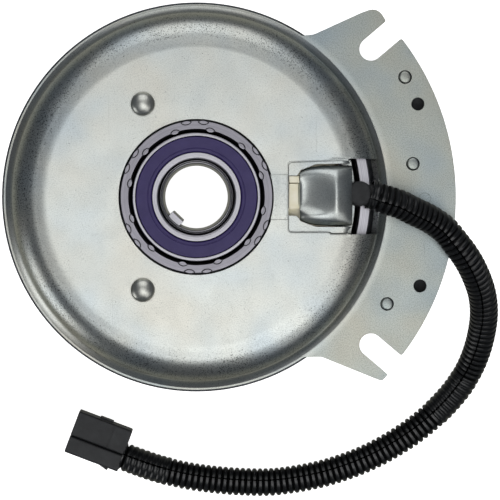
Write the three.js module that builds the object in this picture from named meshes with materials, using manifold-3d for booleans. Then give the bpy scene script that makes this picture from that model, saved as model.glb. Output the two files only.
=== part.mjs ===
// Electromagnetic clutch and brake for a belt drive, millimetres, +Z up.
// The origin is on the crankshaft axis at the pulley side; the engine side faces up.
import * as THREE from "three";
import { mergeVertices } from "three/addons/utils/BufferGeometryUtils.js";
import Module from "manifold-3d";

const wasm = await Module();
wasm.setup();

// ---------------------------------------------------------------- driving sizes

const FIT_GAP = 0.3; // space left between pieces that touch
const ROUND = 32; // facets round a large turned piece
const SHELL_ROUND = 40; // facets round the housing
const BEARING_ROUND = 24; // facets round a bearing ring or a sleeve
const SMALL_ROUND = 8; // facets round a hole, rivet or bolt
const OVERRUN = 2; // how far a cutting tool stands past the face it cuts
const OVERLAP = 1; // how far parts that are joined run into each other
const WELD = 1e-4; // vertices nearer than this are one
const GROMMET_ROUND = 12; // facets round the grommet
const SPACER_ROUND = 16; // facets round a brake spacer
const PAD_ROUND = 20; // facets round a spring pad
const HEXAGON = 6; // sides of a bolt head
const BALL_DETAIL = 1; // how often a ball's eight faces are split
const ARC_STEPS = 3; // facets along a bend in a turned profile
const LEAF_CURVE = 4; // curve divisions round the end of a leaf spring
const SLOT_CURVE = 5; // curve divisions round the end of a flange slot
const FAN_CURVE = 8; // curve divisions along the fan's edge
const SECTOR_STEP = 20; // degrees of a flat ring to one curve division, which draws two facets
const FEWEST_DIVISIONS = 2; // curve divisions of the shortest flat ring

const BORE_RADIUS = 14.29; // 1 1/8 inch crankshaft
const KEY = { width: 6.35, innerRadius: 11.4, outerRadius: 15, angle: 226.5, drop: 0.8 };

const HUB = {
  bottom: 0.8,
  top: 75,
  edge: 0.4, // chamfers at both ends
  pulleySeat: 17.4, // radius under the pulley bearing
  collar: 20, // radius inside the rotor disc
  collarBottom: 39.9,
  collarTop: 46.3,
  shoulder: 19, // radius the field bearing stands on
  shoulderTop: 50.7,
  fieldSeat: 15.95, // radius inside the field bearing
  grooveRadius: 16.4,
  grooveBottom: 2.3,
  grooveTop: 3.9,
};

const FIELD_BEARING = {
  name: "field_bearing",
  bore: 16.05,
  innerRace: 19,
  outerRace: 26,
  outside: 27.5,
  bottom: 51,
  top: 74,
  ball: 3.9,
  pitch: 22.5,
  rows: [57.2, 67.8],
  balls: 12,
};

const PULLEY_BEARING = {
  name: "pulley_bearing",
  bore: 17.5,
  innerRace: 21.9,
  outerRace: 26.9,
  outside: 30.8,
  bottom: 4,
  top: 18,
  ball: 3.9,
  pitch: 24.4,
  rows: [11],
  balls: 11,
};

const BALL_PLAY = 0.4;
const SEAL = { thickness: 1.8, recess: 0.3, play: 0.3 };
const CAGE = { halfWidth: 1.3, halfHeight: 1.5 };

const CARRIER = {
  bottom: 48.2,
  lip: 25, // radius of the hole under the bearing
  lipTop: 50.7,
  pole: 34.5, // radius of the inner pole
  poleTop: 67.9,
  spigot: 32.5, // radius of the ring staked into the housing
  top: 74.5,
  bore: 27.7,
  edgeRadius: 29,
  edgeDepth: 1.3,
};

const HOUSING = {
  sheet: 2.5,
  top: 74,
  hole: 32.9,
  flatRadius: 63.5,
  shoulderStart: 67.6, // centre of the shoulder's bend
  shoulderDrop: 1,
  shoulderBend: 12,
  wall: 79.6,
  flareBend: 5.5,
  flareEnd: 266, // degrees at which the bend meets the flange
  lip: 84.8,
  flangeTop: 44,
};

const FLANGE = {
  inner: 83.5,
  radius: 114.1,
  // Each finger: where it leaves the rim, its straight edge, its tip and the slot's outer lip.
  upper: {
    rim: [46.6, 71],
    start: [51.6, 71.5],
    end: [72.6, 81.3],
    tip: [79.6, 84.2],
    lip: [83.1, 78.4],
  },
  lower: {
    rim: [47.5, -70.4],
    start: [55, -70.3],
    end: [77.5, -79.4],
    tip: [82.2, -80.9],
    lip: [85.1, -77.3],
  },
  slotWidth: 10.3,
  slotRadius: 100.6, // where the slot's round end is centred
  slotAngle: 40.3,
  slotReach: 30,
  sightHoles: [
    { angle: 22.8, radius: 105.6, hole: 2.9 },
    { angle: -21.7, radius: 105.8, hole: 2.9 },
    { angle: -0.4, radius: 100.5, hole: 2.65 },
  ],
};

const WINDOW = {
  left: 39,
  step: 56.5,
  right: 81,
  low: [-15.2, -16],
  high: [15.6, 16.5],
  floor: 49,
};
const BRIDGE = { left: 30.5, halfWidth: 9.7, rise: 0.7 };

const CORE = {
  bottom: 50,
  top: 71.2,
  plate: 3,
  hole: 32.9,
  outside: 68.6,
  inside: 64.6,
  outerBend: 5,
  innerBend: 3,
  slot: { x: [39.3, 44.5], y: [-7.7, 9.2] },
};
const HOOD = {
  left: 44.1,
  ridge: 59.5,
  right: 66,
  halfWidth: 13.3,
  top: 76,
  topHalfWidth: 9.6,
  flankInset: 1, // how far the flanks lean in below the shoulder
  shoulder: 74.2,
  tailTop: 73.6,
  tunnelHalfWidth: 9.5,
  tunnelTop: 73.1,
  tunnelFloor: 67.9,
  notchHalfWidth: 6.6,
  notchFloor: 60.2,
};

const BOBBIN = { inner: 35.2, tube: 36.8, outer: 63.5, topOuter: 61, bottom: 51, top: 67.2, wall: 1.5 };
const BOBBIN_TAB = { x: [39.7, 44], y: [-4.7, 9], top: 70.9 };
const WINDING = { inner: 37.1, outer: 60.5, bottom: 52.8, top: 65.4 };
const LEAD = { radius: 1.2, start: 44.4, end: 64.6, height: 69.3, offsets: [2.8, -1.2] };
const GROMMET = {
  start: 64.9,
  end: 73.8,
  y: 0.8,
  z: 66,
  radius: 5.4,
  collar: 5.9, // radius at the swelling
  collarLength: 2.4,
  neck: 4.9, // radius in the groove
  neckEnd: 4.8,
};

const HOUSING_RIVET = { radius: 45.8, angles: [120, -120], shank: 2.6, bottom: 68.5, head: 5.1, rise: 2.4 };
const RIVET_PLAY = 0.3;
const DOME = [[1, 0.2], [0.85, 0.62], [0.5, 0.92]]; // shares of a rivet head's radius and rise

const BRAKE = {
  bottom: 28,
  top: 31,
  inner: 76,
  outer: 112,
  halfAngle: 34.5,
  poleInner: 76.4,
  poleOuter: 85.6,
  poleTop: 33.3,
  poleAngles: [[4, 32], [-32, -4]],
  magnetInner: 90,
  magnetOuter: 110,
  magnetTop: 37.5,
  magnetAngles: [[14, 25.2], [-24.4, -13]],
};
const BRAKE_BOLT = {
  places: [
    { angle: 29.9, radius: 105.8 },
    { angle: 8.7, radius: 96.3 },
    { angle: -29.3, radius: 96.1 },
  ],
  hole: 3.1,
  shank: 2.65,
  top: 44.5,
  headRadius: 5.8,
  headHeight: 4,
  spacerRadius: 6,
  spacerBore: 3.2,
};

const ROTOR = {
  bottom: 40,
  discTop: 46,
  rimTop: 60,
  bore: 20.3,
  rimInner: 69.6,
  outside: 74.4,
  slotRows: [
    { inner: 43, outer: 46, start: 0, sweep: 44 },
    { inner: 58, outer: 61, start: 30, sweep: 48 },
  ],
  slotsPerRow: 6,
};
const SPACER = { bore: 17.6, outside: 21, bottom: 18.3, top: 39.6 };

const ARMATURE = {
  bottom: 33.6,
  top: 39.6,
  inner: 33,
  outside: 86,
  slots: { inner: 50.5, outer: 53.5, start: 30, sweep: 32 },
  slotCount: 6,
  clearance: 7.5,
  rivetTop: 39.2,
};

const PULLEY = {
  bore: 31.05,
  shoulder: 28.6, // radius of the lip above the bearing
  boss: 38,
  top: 24,
  webBottom: 17,
  rimInner: 55.5,
  outside: 70,
  groove: 59.5,
  grooveOuter: [4, 20.6],
  grooveInner: [7.4, 17.3],
  edge: 0.6,
  bossBottom: 1,
  snapGroove: { radius: 32.4, bottom: 2.2, top: 3.7 },
  padRadius: 8,
  padTop: 31.9,
  rivetFloor: 21,
};

const LEAF = { circle: 58, start: 0, sweep: 50, bottom: 32.2, top: 33.3, end: 7, count: 3 };
const RIVET = { shank: 2.6, head: 5, headHeight: 2.3 };

const HUB_RING = { inner: 16.6, outer: 20.3, bottom: 2.6, top: 3.7, gap: 40, gapAt: 90 };
const PULLEY_RING = { inner: 28, outer: 32.2, bottom: 2.5, top: 3.5, gap: 36, gapAt: 90 };

const LOOM = { radius: 6.5, sides: 10, steps: 30 };
// Centre line of the loom from the grommet over the flange and down to the bench.
const LOOM_ROUTE = [
  [76.6, 0.5, 66],
  [81, -1, 65.4],
  [87.5, -3.1, 63.5],
  [94.1, -6.2, 60],
  [101.3, -9.6, 56.6],
  [107.8, -14, 54],
  [113.2, -20.2, 51.9],
  [118.5, -27, 48.4],
  [123, -34.6, 43],
  [126.6, -43, 36],
  [128.4, -51.9, 28.5],
  [128.3, -60.9, 21.4],
  [126.9, -69.6, 15.4],
  [124.2, -77.9, 10.9],
  [120, -85.7, 8.1],
  [114.6, -92.7, 6.9],
  [107.9, -99.5, 6.6],
  [99.6, -106.3, 6.6],
  [89.7, -112.9, 6.6],
  [80.1, -118.1, 6.6],
  [70.2, -122.3, 6.6],
  [58.2, -126.1, 6.6],
  [46.2, -128.6, 6.6],
  [34, -130.1, 6.6],
  [21, -130, 6.6],
  [8, -129, 6.6],
  [-5, -127.1, 6.6],
  [-17, -124.2, 6.6],
  [-27.1, -120.8, 6.6],
  [-32.1, -118.9, 6.6],
];

const PLUG = {
  centre: [-44.6, -111.05],
  angle: -20.7,
  halfLength: 12.9,
  height: 12,
  edge: 1,
  housing: [-1.8, 9.9], // across the plug
  lock: [-9.9, -2.1],
  cavity: { halfWidth: 4, halfHeight: 1.5, depth: 17, across: 4.1, heights: [3.4, 8.6] },
  terminal: { halfWidth: 3.2, halfHeight: 0.5, start: -11.5, length: 15 },
  latch: { start: 3, peak: 8.2, end: 8.6, out: 1.4, bottom: 3, top: 9 },
  bump: { x: [-3, 3.4], out: 0.8, bottom: 3, top: 9 },
};

// ---------------------------------------------------------------- finishes

const finish = (color, metalness, roughness) => ({ color, metalness, roughness });
const FINISHES = {
  zinc: finish(0xc9cbc8, 0.9, 0.35),
  steel: finish(0xb4b4b6, 0.95, 0.3),
  darkSteel: finish(0x5c5e60, 0.85, 0.5),
  castIron: finish(0x34363a, 0.6, 0.55),
  violetSeal: finish(0x3c3366, 0, 0.55),
  nylon: finish(0xe6dfc4, 0, 0.6),
  copper: finish(0xa35a2e, 0.9, 0.4),
  ferrite: finish(0x232325, 0.1, 0.7),
  rubber: finish(0x1c1c1d, 0, 0.85),
  loom: finish(0x151516, 0, 0.55),
  plastic: finish(0x1a1b1c, 0, 0.5),
  tin: finish(0xd4d2c8, 0.9, 0.35),
  leadRed: finish(0x8d1f1f, 0, 0.5),
};

// ---------------------------------------------------------------- tools

const clutch = new THREE.Group();

function addPiece(name, geometry, look) {
  const mesh = new THREE.Mesh(geometry, new THREE.MeshStandardMaterial(FINISHES[look]));
  mesh.name = name;
  clutch.add(mesh);
  return mesh;
}

const radians = THREE.MathUtils.degToRad;

function polar(radius, degrees) {
  return [radius * Math.cos(radians(degrees)), radius * Math.sin(radians(degrees))];
}

function toSolid(geometry) {
  const plain = geometry.clone();
  plain.deleteAttribute("normal");
  plain.deleteAttribute("uv");
  const merged = mergeVertices(plain, WELD);
  return new wasm.Manifold(
    new wasm.Mesh({
      numProp: 3,
      vertProperties: merged.attributes.position.array,
      triVerts: new Uint32Array(merged.index.array),
    }),
  );
}

function toGeometry(solid) {
  const mesh = solid.getMesh();
  const geometry = new THREE.BufferGeometry();
  geometry.setAttribute("position", new THREE.BufferAttribute(mesh.vertProperties, 3));
  geometry.setIndex(new THREE.BufferAttribute(mesh.triVerts, 1));
  return geometry;
}

function join(...geometries) {
  return toGeometry(geometries.map(toSolid).reduce((whole, next) => whole.add(next)));
}

function cut(geometry, ...tools) {
  return toGeometry(tools.map(toSolid).reduce((left, tool) => left.subtract(tool), toSolid(geometry)));
}

function common(first, second) {
  return toGeometry(toSolid(first).intersect(toSolid(second)));
}

// A closed ring about Z from a profile of [radius, height], counter-clockwise.
function turned(profile, facets = ROUND) {
  const points = [...profile, profile[0]].map(([r, z]) => new THREE.Vector2(r, z));
  return new THREE.LatheGeometry(points, facets).rotateX(Math.PI / 2);
}

// A solid about Z whose profile starts and ends on the axis.
function turnedOnAxis(profile, facets = SMALL_ROUND) {
  const points = profile.map(([r, z]) => new THREE.Vector2(r, z));
  return new THREE.LatheGeometry(points, facets).rotateX(Math.PI / 2);
}

function ring(inner, outer, bottom, top, facets = ROUND) {
  return turned([[inner, bottom], [outer, bottom], [outer, top], [inner, top]], facets);
}

function rod(radius, bottom, top, [x, y] = [0, 0], facets = SMALL_ROUND) {
  const profile = [[0, bottom], [radius, bottom], [radius, top], [0, top]];
  return turnedOnAxis(profile, facets).translate(x, y, 0);
}

function box([x0, x1], [y0, y1], [z0, z1]) {
  const block = new THREE.BoxGeometry(x1 - x0, y1 - y0, z1 - z0);
  return block.translate((x0 + x1) / 2, (y0 + y1) / 2, (z0 + z1) / 2);
}

function plate(shape, bottom, top, curveSegments = ARC_STEPS) {
  const options = { depth: top - bottom, bevelEnabled: false, curveSegments };
  return new THREE.ExtrudeGeometry(shape, options).translate(0, 0, bottom);
}

// A piece of a flat ring between two angles in degrees.
function sector(inner, outer, from, to, bottom, top) {
  const shape = new THREE.Shape();
  shape.absarc(0, 0, outer, radians(from), radians(to), false);
  shape.absarc(0, 0, inner, radians(to), radians(from), true);
  const steps = Math.max(FEWEST_DIVISIONS, Math.ceil((to - from) / SECTOR_STEP));
  return plate(shape, bottom, top, steps);
}

// Points of an arc in a turned profile, angles in degrees.
function arc(centreRadius, centreHeight, bend, from, to, steps = ARC_STEPS) {
  const points = [];
  for (let i = 0; i <= steps; i++) {
    const [dr, dz] = polar(bend, from + ((to - from) * i) / steps);
    points.push([centreRadius + dr, centreHeight + dz]);
  }
  return points;
}

function turnAboutZ(geometry, degrees) {
  return geometry.rotateZ(radians(degrees));
}

// ---------------------------------------------------------------- bearings

// The race's side of each ball groove, from low to high; side is -1 inside the balls, 1 outside.
function grooves(bearing, raceRadius, side) {
  const bend = bearing.ball + BALL_PLAY;
  const reach = Math.sqrt(bend ** 2 - (bearing.pitch - raceRadius) ** 2);
  return bearing.rows.flatMap((height) => {
    const points = [];
    for (let i = 0; i <= ARC_STEPS; i++) {
      const dz = reach * ((2 * i) / ARC_STEPS - 1);
      points.push([bearing.pitch + side * Math.sqrt(bend ** 2 - dz ** 2), height + dz]);
    }
    return points;
  });
}

function makeInnerRace(bearing) {
  const { bore, innerRace, bottom, top } = bearing;
  const outside = [[innerRace, bottom], ...grooves(bearing, innerRace, -1), [innerRace, top]];
  const race = turned([[bore, bottom], ...outside, [bore, top]], BEARING_ROUND);
  addPiece(`${bearing.name}_inner_race`, race, "steel");
}

function makeOuterRace(bearing) {
  const { outside, outerRace, bottom, top } = bearing;
  const inside = [[outerRace, bottom], ...grooves(bearing, outerRace, 1), [outerRace, top]].reverse();
  const race = turned([[outside, bottom], [outside, top], ...inside], BEARING_ROUND);
  addPiece(`${bearing.name}_outer_race`, race, "steel");
}

function makeSeal(bearing, place, bottom, look) {
  const inner = bearing.innerRace + SEAL.play;
  const outer = bearing.outerRace - SEAL.play;
  const seal = ring(inner, outer, bottom, bottom + SEAL.thickness, BEARING_ROUND);
  addPiece(`${bearing.name}_seal_${place}`, seal, look);
}

// One row of balls with the cage that spaces them, as one body.
function makeBallRow(bearing, name, height) {
  const { pitch, balls, ball } = bearing;
  const { halfWidth, halfHeight } = CAGE;
  const [low, high] = [height - halfHeight, height + halfHeight];
  const parts = [ring(pitch - halfWidth, pitch + halfWidth, low, high, BEARING_ROUND)];
  for (let i = 0; i < balls; i++) {
    const [x, y] = polar(pitch, (360 * i) / balls);
    parts.push(new THREE.OctahedronGeometry(ball, BALL_DETAIL).rotateX(Math.PI / 2).translate(x, y, height));
  }
  addPiece(name, join(...parts), "steel");
}

function makeBearing(bearing, look) {
  makeInnerRace(bearing);
  makeOuterRace(bearing);
  makeSeal(bearing, "lower", bearing.bottom + SEAL.recess, "rubber");
  makeSeal(bearing, "upper", bearing.top - SEAL.recess - SEAL.thickness, look);
  bearing.rows.forEach((height, i) => makeBallRow(bearing, `${bearing.name}_balls_${i + 1}`, height));
}

// ---------------------------------------------------------------- field side

function housingShell() {
  const { sheet, top, hole, flatRadius, shoulderStart, shoulderDrop, shoulderBend } = HOUSING;
  const { wall, flareBend, flareEnd, lip, flangeTop } = HOUSING;
  const shoulderHeight = top - shoulderDrop - shoulderBend;
  const flareRadius = wall + flareBend;
  const flareHeight = flangeTop + flareBend;
  const inside = [
    [lip, flangeTop - sheet],
    ...arc(flareRadius, flareHeight, flareBend + sheet, flareEnd, 180),
    ...arc(shoulderStart, shoulderHeight, shoulderBend - sheet, 0, 90),
    [flatRadius, top - sheet],
    [hole, top - sheet],
  ];
  const outside = [
    [hole, top],
    [flatRadius, top],
    ...arc(shoulderStart, shoulderHeight, shoulderBend, 90, 0),
    ...arc(flareRadius, flareHeight, flareBend, 180, flareEnd),
    [lip, flangeTop],
  ];
  return turned([...outside, ...inside].reverse(), SHELL_ROUND);
}

function flangeShape() {
  const { inner, radius, upper, lower } = FLANGE;
  const angleOf = ([x, y]) => Math.atan2(y, x);
  const start = angleOf(lower.rim);
  const shape = new THREE.Shape();
  shape.moveTo(inner * Math.cos(start), inner * Math.sin(start));
  [lower.rim, lower.start, lower.end].forEach((point) => shape.lineTo(...point));
  shape.quadraticCurveTo(...lower.tip, ...lower.lip);
  shape.absarc(0, 0, radius, angleOf(lower.lip), angleOf(upper.lip), false);
  shape.lineTo(...upper.lip);
  shape.quadraticCurveTo(...upper.tip, ...upper.end);
  [upper.start, upper.rim].forEach((point) => shape.lineTo(...point));
  shape.absarc(0, 0, inner, angleOf(upper.rim), start, true);
  return shape;
}

// An open-ended slot that runs out through the flange's edge.
function slotTool(degrees) {
  const { slotWidth, slotRadius, slotReach } = FLANGE;
  const half = slotWidth / 2;
  const shape = new THREE.Shape();
  shape.moveTo(slotRadius + slotReach, half);
  shape.absarc(slotRadius, 0, half, Math.PI / 2, (3 * Math.PI) / 2, false);
  shape.lineTo(slotRadius + slotReach, -half);
  const { flangeTop, sheet } = HOUSING;
  return turnAboutZ(plate(shape, flangeTop - sheet - OVERRUN, flangeTop + OVERRUN, SLOT_CURVE), degrees);
}

function holesThrough(places, radius, bottom, top) {
  return places.map((p) => rod(p.hole ?? radius, bottom - OVERRUN, top + OVERRUN, polar(p.radius, p.angle)));
}

function makeHousing() {
  const { top, sheet, hole, flangeTop } = HOUSING;
  const flangeBottom = flangeTop - sheet;
  const bridgeTop = top + BRIDGE.rise;
  const bridgeWidth = [-BRIDGE.halfWidth, BRIDGE.halfWidth];
  const bridge = box([BRIDGE.left, WINDOW.left], bridgeWidth, [top - sheet, bridgeTop]);
  const fan = plate(flangeShape(), flangeBottom, flangeTop, FAN_CURVE);
  const body = join(housingShell(), bridge, fan);
  const above = top + OVERRUN * 2;
  const rivetPlaces = HOUSING_RIVET.angles.map((angle) => ({ angle, radius: HOUSING_RIVET.radius }));
  const tools = [
    rod(hole, top - sheet - OVERRUN, above, [0, 0], SHELL_ROUND),
    box([WINDOW.left, WINDOW.right], [WINDOW.low[0], WINDOW.high[0]], [WINDOW.floor, above]),
    box([WINDOW.step, WINDOW.right], [WINDOW.low[1], WINDOW.high[1]], [WINDOW.floor, above]),
    slotTool(FLANGE.slotAngle),
    slotTool(-FLANGE.slotAngle),
    ...holesThrough(rivetPlaces, HOUSING_RIVET.shank + RIVET_PLAY, top - sheet, top),
    ...holesThrough(BRAKE_BOLT.places, BRAKE_BOLT.hole, flangeBottom, flangeTop),
    ...holesThrough(FLANGE.sightHoles, 0, flangeBottom, flangeTop),
  ];
  addPiece("field_housing", cut(body, ...tools), "zinc");
}

function makeCarrier() {
  const { bottom, lip, lipTop, pole, poleTop, spigot, top, bore, edgeRadius, edgeDepth } = CARRIER;
  const profile = [
    [lip, bottom],
    [pole, bottom],
    [pole, poleTop],
    [spigot, poleTop],
    [spigot, top],
    [edgeRadius, top],
    [bore, top - edgeDepth],
    [bore, lipTop],
    [lip, lipTop],
  ];
  addPiece("bearing_carrier", turned(profile), "zinc");
}

function hoodSolid() {
  const { left, ridge, right, halfWidth, top, topHalfWidth, flankInset, shoulder, tailTop } = HOOD;
  const base = CORE.top - CORE.plate / 2;
  const side = new THREE.Shape();
  side.moveTo(left, base);
  side.lineTo(right, base);
  side.lineTo(right, tailTop);
  side.lineTo(ridge, top);
  side.lineTo(left, top - (top - tailTop) / 2);
  const lengthwise = plate(side, -halfWidth, halfWidth).rotateX(Math.PI / 2);
  const end = new THREE.Shape();
  end.moveTo(-halfWidth, base);
  end.lineTo(halfWidth, base);
  end.lineTo(halfWidth, CORE.top);
  end.lineTo(halfWidth - flankInset, shoulder);
  end.lineTo(topHalfWidth, top);
  end.lineTo(-topHalfWidth, top);
  end.lineTo(flankInset - halfWidth, shoulder);
  end.lineTo(-halfWidth, CORE.top);
  const across = plate(end, left, right).rotateX(Math.PI / 2).rotateZ(Math.PI / 2);
  return common(lengthwise, across);
}

function makeFieldCore() {
  const { bottom, top, plate: sheet, hole, outside, inside, outerBend, innerBend, slot } = CORE;
  const under = top - sheet;
  const profile = [
    [inside, bottom],
    [outside, bottom],
    ...arc(outside - outerBend, top - outerBend, outerBend, 0, 90),
    [hole, top],
    [hole, under],
    [inside - innerBend, under],
    [inside, under - innerBend],
  ];
  const { tunnelHalfWidth, tunnelTop, tunnelFloor, notchHalfWidth, notchFloor } = HOOD;
  const rivetPlaces = HOUSING_RIVET.angles.map((angle) => ({ angle, radius: HOUSING_RIVET.radius }));
  const beyond = outside + OVERRUN;
  const tools = [
    box(slot.x, slot.y, [under - OVERRUN, HOOD.top + OVERRUN]),
    box([slot.x[1] - FIT_GAP, inside], [-tunnelHalfWidth, tunnelHalfWidth], [tunnelFloor, tunnelTop]),
    box([inside - OVERRUN, beyond], [-notchHalfWidth, notchHalfWidth], [notchFloor, tunnelTop]),
    ...holesThrough(rivetPlaces, HOUSING_RIVET.shank + RIVET_PLAY, under, top),
  ];
  addPiece("field_core", cut(join(turned(profile), hoodSolid()), ...tools), "zinc");
}

function makeCoil() {
  const { inner, tube, outer, topOuter, bottom, top, wall } = BOBBIN;
  const profile = [
    [inner, bottom],
    [outer, bottom],
    [outer, bottom + wall],
    [tube, bottom + wall],
    [tube, top - wall],
    [topOuter, top - wall],
    [topOuter, top],
    [inner, top],
  ];
  const tab = box(BOBBIN_TAB.x, BOBBIN_TAB.y, [top - wall, BOBBIN_TAB.top]);
  addPiece("coil_bobbin", join(turned(profile), tab), "nylon");
  addPiece("coil_winding", ring(WINDING.inner, WINDING.outer, WINDING.bottom, WINDING.top), "copper");
}

// A solid swept along a path, its section a regular polygon.
function swept(points, radius, sides, steps) {
  const section = new THREE.Shape();
  for (let i = 0; i < sides; i++) {
    const [x, y] = polar(radius, (360 * i) / sides);
    i ? section.lineTo(x, y) : section.moveTo(x, y);
  }
  const stations = points.map((p) => new THREE.Vector3(...p));
  const extrudePath = new THREE.CatmullRomCurve3(stations, false, "centripetal");
  return new THREE.ExtrudeGeometry(section, { extrudePath, steps, bevelEnabled: false });
}

function makeLeads() {
  const { radius, start, end, height, offsets } = LEAD;
  offsets.forEach((y, i) => {
    const lead = rod(radius, start, end).rotateY(Math.PI / 2).translate(0, y, height);
    addPiece(`coil_lead_${i + 1}`, lead, "leadRed");
  });
}

// A rubber sleeve lying along X, with a collar at its inner end.
function makeGrommet() {
  const { start, end, radius, y, z, collar, collarLength, neck, neckEnd } = GROMMET;
  const length = end - start;
  const profile = [
    [0, 0],
    [radius, 0],
    [radius, collarLength],
    [neck, collarLength],
    [neck, neckEnd],
    [radius, neckEnd],
    [collar, length - collarLength],
    [radius, length],
    [0, length],
  ];
  const sleeve = turnedOnAxis(profile, GROMMET_ROUND).rotateY(Math.PI / 2).translate(start, y, z);
  addPiece("lead_grommet", sleeve, "rubber");
}

function domedRivet(shank, bottom, head, seat, rise) {
  const profile = [
    [0, bottom],
    [shank, bottom],
    [shank, seat],
    [head, seat],
    ...DOME.map(([out, up]) => [head * out, seat + rise * up]),
    [0, seat + rise],
  ];
  return turnedOnAxis(profile);
}

function makeHousingRivets() {
  const { radius, angles, shank, bottom, head, rise } = HOUSING_RIVET;
  angles.forEach((angle, i) => {
    const [x, y] = polar(radius, angle);
    const rivet = domedRivet(shank, bottom, head, HOUSING.top + FIT_GAP, rise).translate(x, y, 0);
    addPiece(`housing_rivet_${i + 1}`, rivet, "zinc");
  });
}

// ---------------------------------------------------------------- brake

function makeBrake() {
  const { bottom, top, inner, outer, halfAngle } = BRAKE;
  const blank = sector(inner, outer, -halfAngle, halfAngle, bottom, top);
  const holes = holesThrough(BRAKE_BOLT.places, BRAKE_BOLT.hole, bottom, top);
  addPiece("brake_plate", cut(blank, ...holes), "zinc");
  const seat = top + FIT_GAP;
  BRAKE.poleAngles.forEach(([from, to], i) => {
    const pole = sector(BRAKE.poleInner, BRAKE.poleOuter, from, to, seat, BRAKE.poleTop);
    addPiece(`brake_pole_${i + 1}`, pole, "darkSteel");
  });
  BRAKE.magnetAngles.forEach(([from, to], i) => {
    const magnet = sector(BRAKE.magnetInner, BRAKE.magnetOuter, from, to, seat, BRAKE.magnetTop);
    addPiece(`brake_magnet_${i + 1}`, magnet, "ferrite");
  });
}

function makeBrakeBolts() {
  const { places, shank, top, headRadius, headHeight, spacerRadius, spacerBore } = BRAKE_BOLT;
  const seat = BRAKE.bottom - FIT_GAP;
  const spacerTop = HOUSING.flangeTop - HOUSING.sheet - FIT_GAP;
  places.forEach(({ angle, radius }, i) => {
    const [x, y] = polar(radius, angle);
    const spacer = ring(spacerBore, spacerRadius, BRAKE.top + FIT_GAP, spacerTop, SPACER_ROUND);
    addPiece(`brake_spacer_${i + 1}`, spacer.translate(x, y, 0), "steel");
    const head = rod(headRadius, seat - headHeight, seat, [x, y], HEXAGON);
    addPiece(`brake_bolt_${i + 1}`, join(head, rod(shank, seat - OVERLAP, top, [x, y])), "zinc");
  });
}

// ---------------------------------------------------------------- rotor

function makeHub() {
  const { bottom, top, edge, pulleySeat, collar, collarBottom, collarTop, shoulder, shoulderTop } = HUB;
  const { fieldSeat, grooveRadius, grooveBottom, grooveTop } = HUB;
  const profile = [
    [BORE_RADIUS, bottom + edge],
    [BORE_RADIUS + edge, bottom],
    [pulleySeat - edge, bottom],
    [pulleySeat, bottom + edge],
    [pulleySeat, grooveBottom],
    [grooveRadius, grooveBottom],
    [grooveRadius, grooveTop],
    [pulleySeat, grooveTop],
    [pulleySeat, collarBottom],
    [collar, collarBottom],
    [collar, collarTop],
    [shoulder, collarTop],
    [shoulder, shoulderTop],
    [fieldSeat, shoulderTop],
    [fieldSeat, top - edge],
    [fieldSeat - edge, top],
    [BORE_RADIUS + edge, top],
    [BORE_RADIUS, top - edge],
  ];
  const { width, innerRadius, outerRadius, angle, drop } = KEY;
  const key = box([innerRadius, outerRadius], [-width / 2, width / 2], [bottom + edge, top - drop]);
  addPiece("rotor_hub", join(turned(profile, BEARING_ROUND), turnAboutZ(key, angle)), "steel");
}

// Curved slots spaced evenly round a disc, as cutting tools.
function slotRow({ inner, outer, start, sweep }, count, bottom, top) {
  return Array.from({ length: count }, (_, i) => {
    const middle = start + (360 * i) / count;
    return sector(inner, outer, middle - sweep / 2, middle + sweep / 2, bottom - OVERRUN, top + OVERRUN);
  });
}

function makeRotorDisc() {
  const { bottom, discTop, rimTop, bore, rimInner, outside, slotRows, slotsPerRow } = ROTOR;
  const profile = [
    [bore, bottom],
    [outside, bottom],
    [outside, rimTop],
    [rimInner, rimTop],
    [rimInner, discTop],
    [bore, discTop],
  ];
  const tools = slotRows.flatMap((row) => slotRow(row, slotsPerRow, bottom, discTop));
  addPiece("rotor_disc", cut(turned(profile), ...tools), "zinc");
}

function makeSpacer() {
  const { bore, outside, bottom, top } = SPACER;
  addPiece("hub_spacer", ring(bore, outside, bottom, top, BEARING_ROUND), "steel");
}

function makeSnapRing(name, { inner, outer, bottom, top, gap, gapAt }) {
  addPiece(name, sector(inner, outer, gapAt + gap / 2, gapAt + 360 - gap / 2, bottom, top), "darkSteel");
}

// ---------------------------------------------------------------- armature and pulley

const leafAngle = (i) => LEAF.start + (360 * i) / LEAF.count;

function makeArmature() {
  const { bottom, top, inner, outside, slots, slotCount, clearance } = ARMATURE;
  const tools = slotRow(slots, slotCount, bottom, top);
  for (let i = 0; i < LEAF.count; i++) {
    tools.push(rod(clearance, bottom - OVERRUN, top + OVERRUN, polar(LEAF.circle, leafAngle(i))));
    const far = polar(LEAF.circle, leafAngle(i) + LEAF.sweep);
    tools.push(rod(RIVET.shank + RIVET_PLAY, bottom - OVERRUN, top + OVERRUN, far));
  }
  addPiece("armature_disc", cut(ring(inner, outside, bottom, top), ...tools), "darkSteel");
}

// A straight spring strip with round ends, riveted to the pulley at one end and the armature at the other.
function makeLeafSpring(i) {
  const { circle, sweep, end, bottom, top } = LEAF;
  const length = 2 * circle * Math.sin(radians(sweep / 2));
  const strip = new THREE.Shape();
  strip.absarc(0, 0, end, Math.PI / 2, (3 * Math.PI) / 2, false);
  strip.absarc(length, 0, end, -Math.PI / 2, Math.PI / 2, false);
  for (const x of [0, length]) {
    const hole = new THREE.Path();
    strip.holes.push(hole.absarc(x, 0, RIVET.shank + RIVET_PLAY, 0, 2 * Math.PI, true));
  }
  const [x, y] = polar(circle, leafAngle(i));
  const lie = leafAngle(i) + 90 + sweep / 2;
  const spring = turnAboutZ(plate(strip, bottom, top, LEAF_CURVE), lie).translate(x, y, 0);
  addPiece(`leaf_spring_${i + 1}`, spring, "steel");
}

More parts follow.
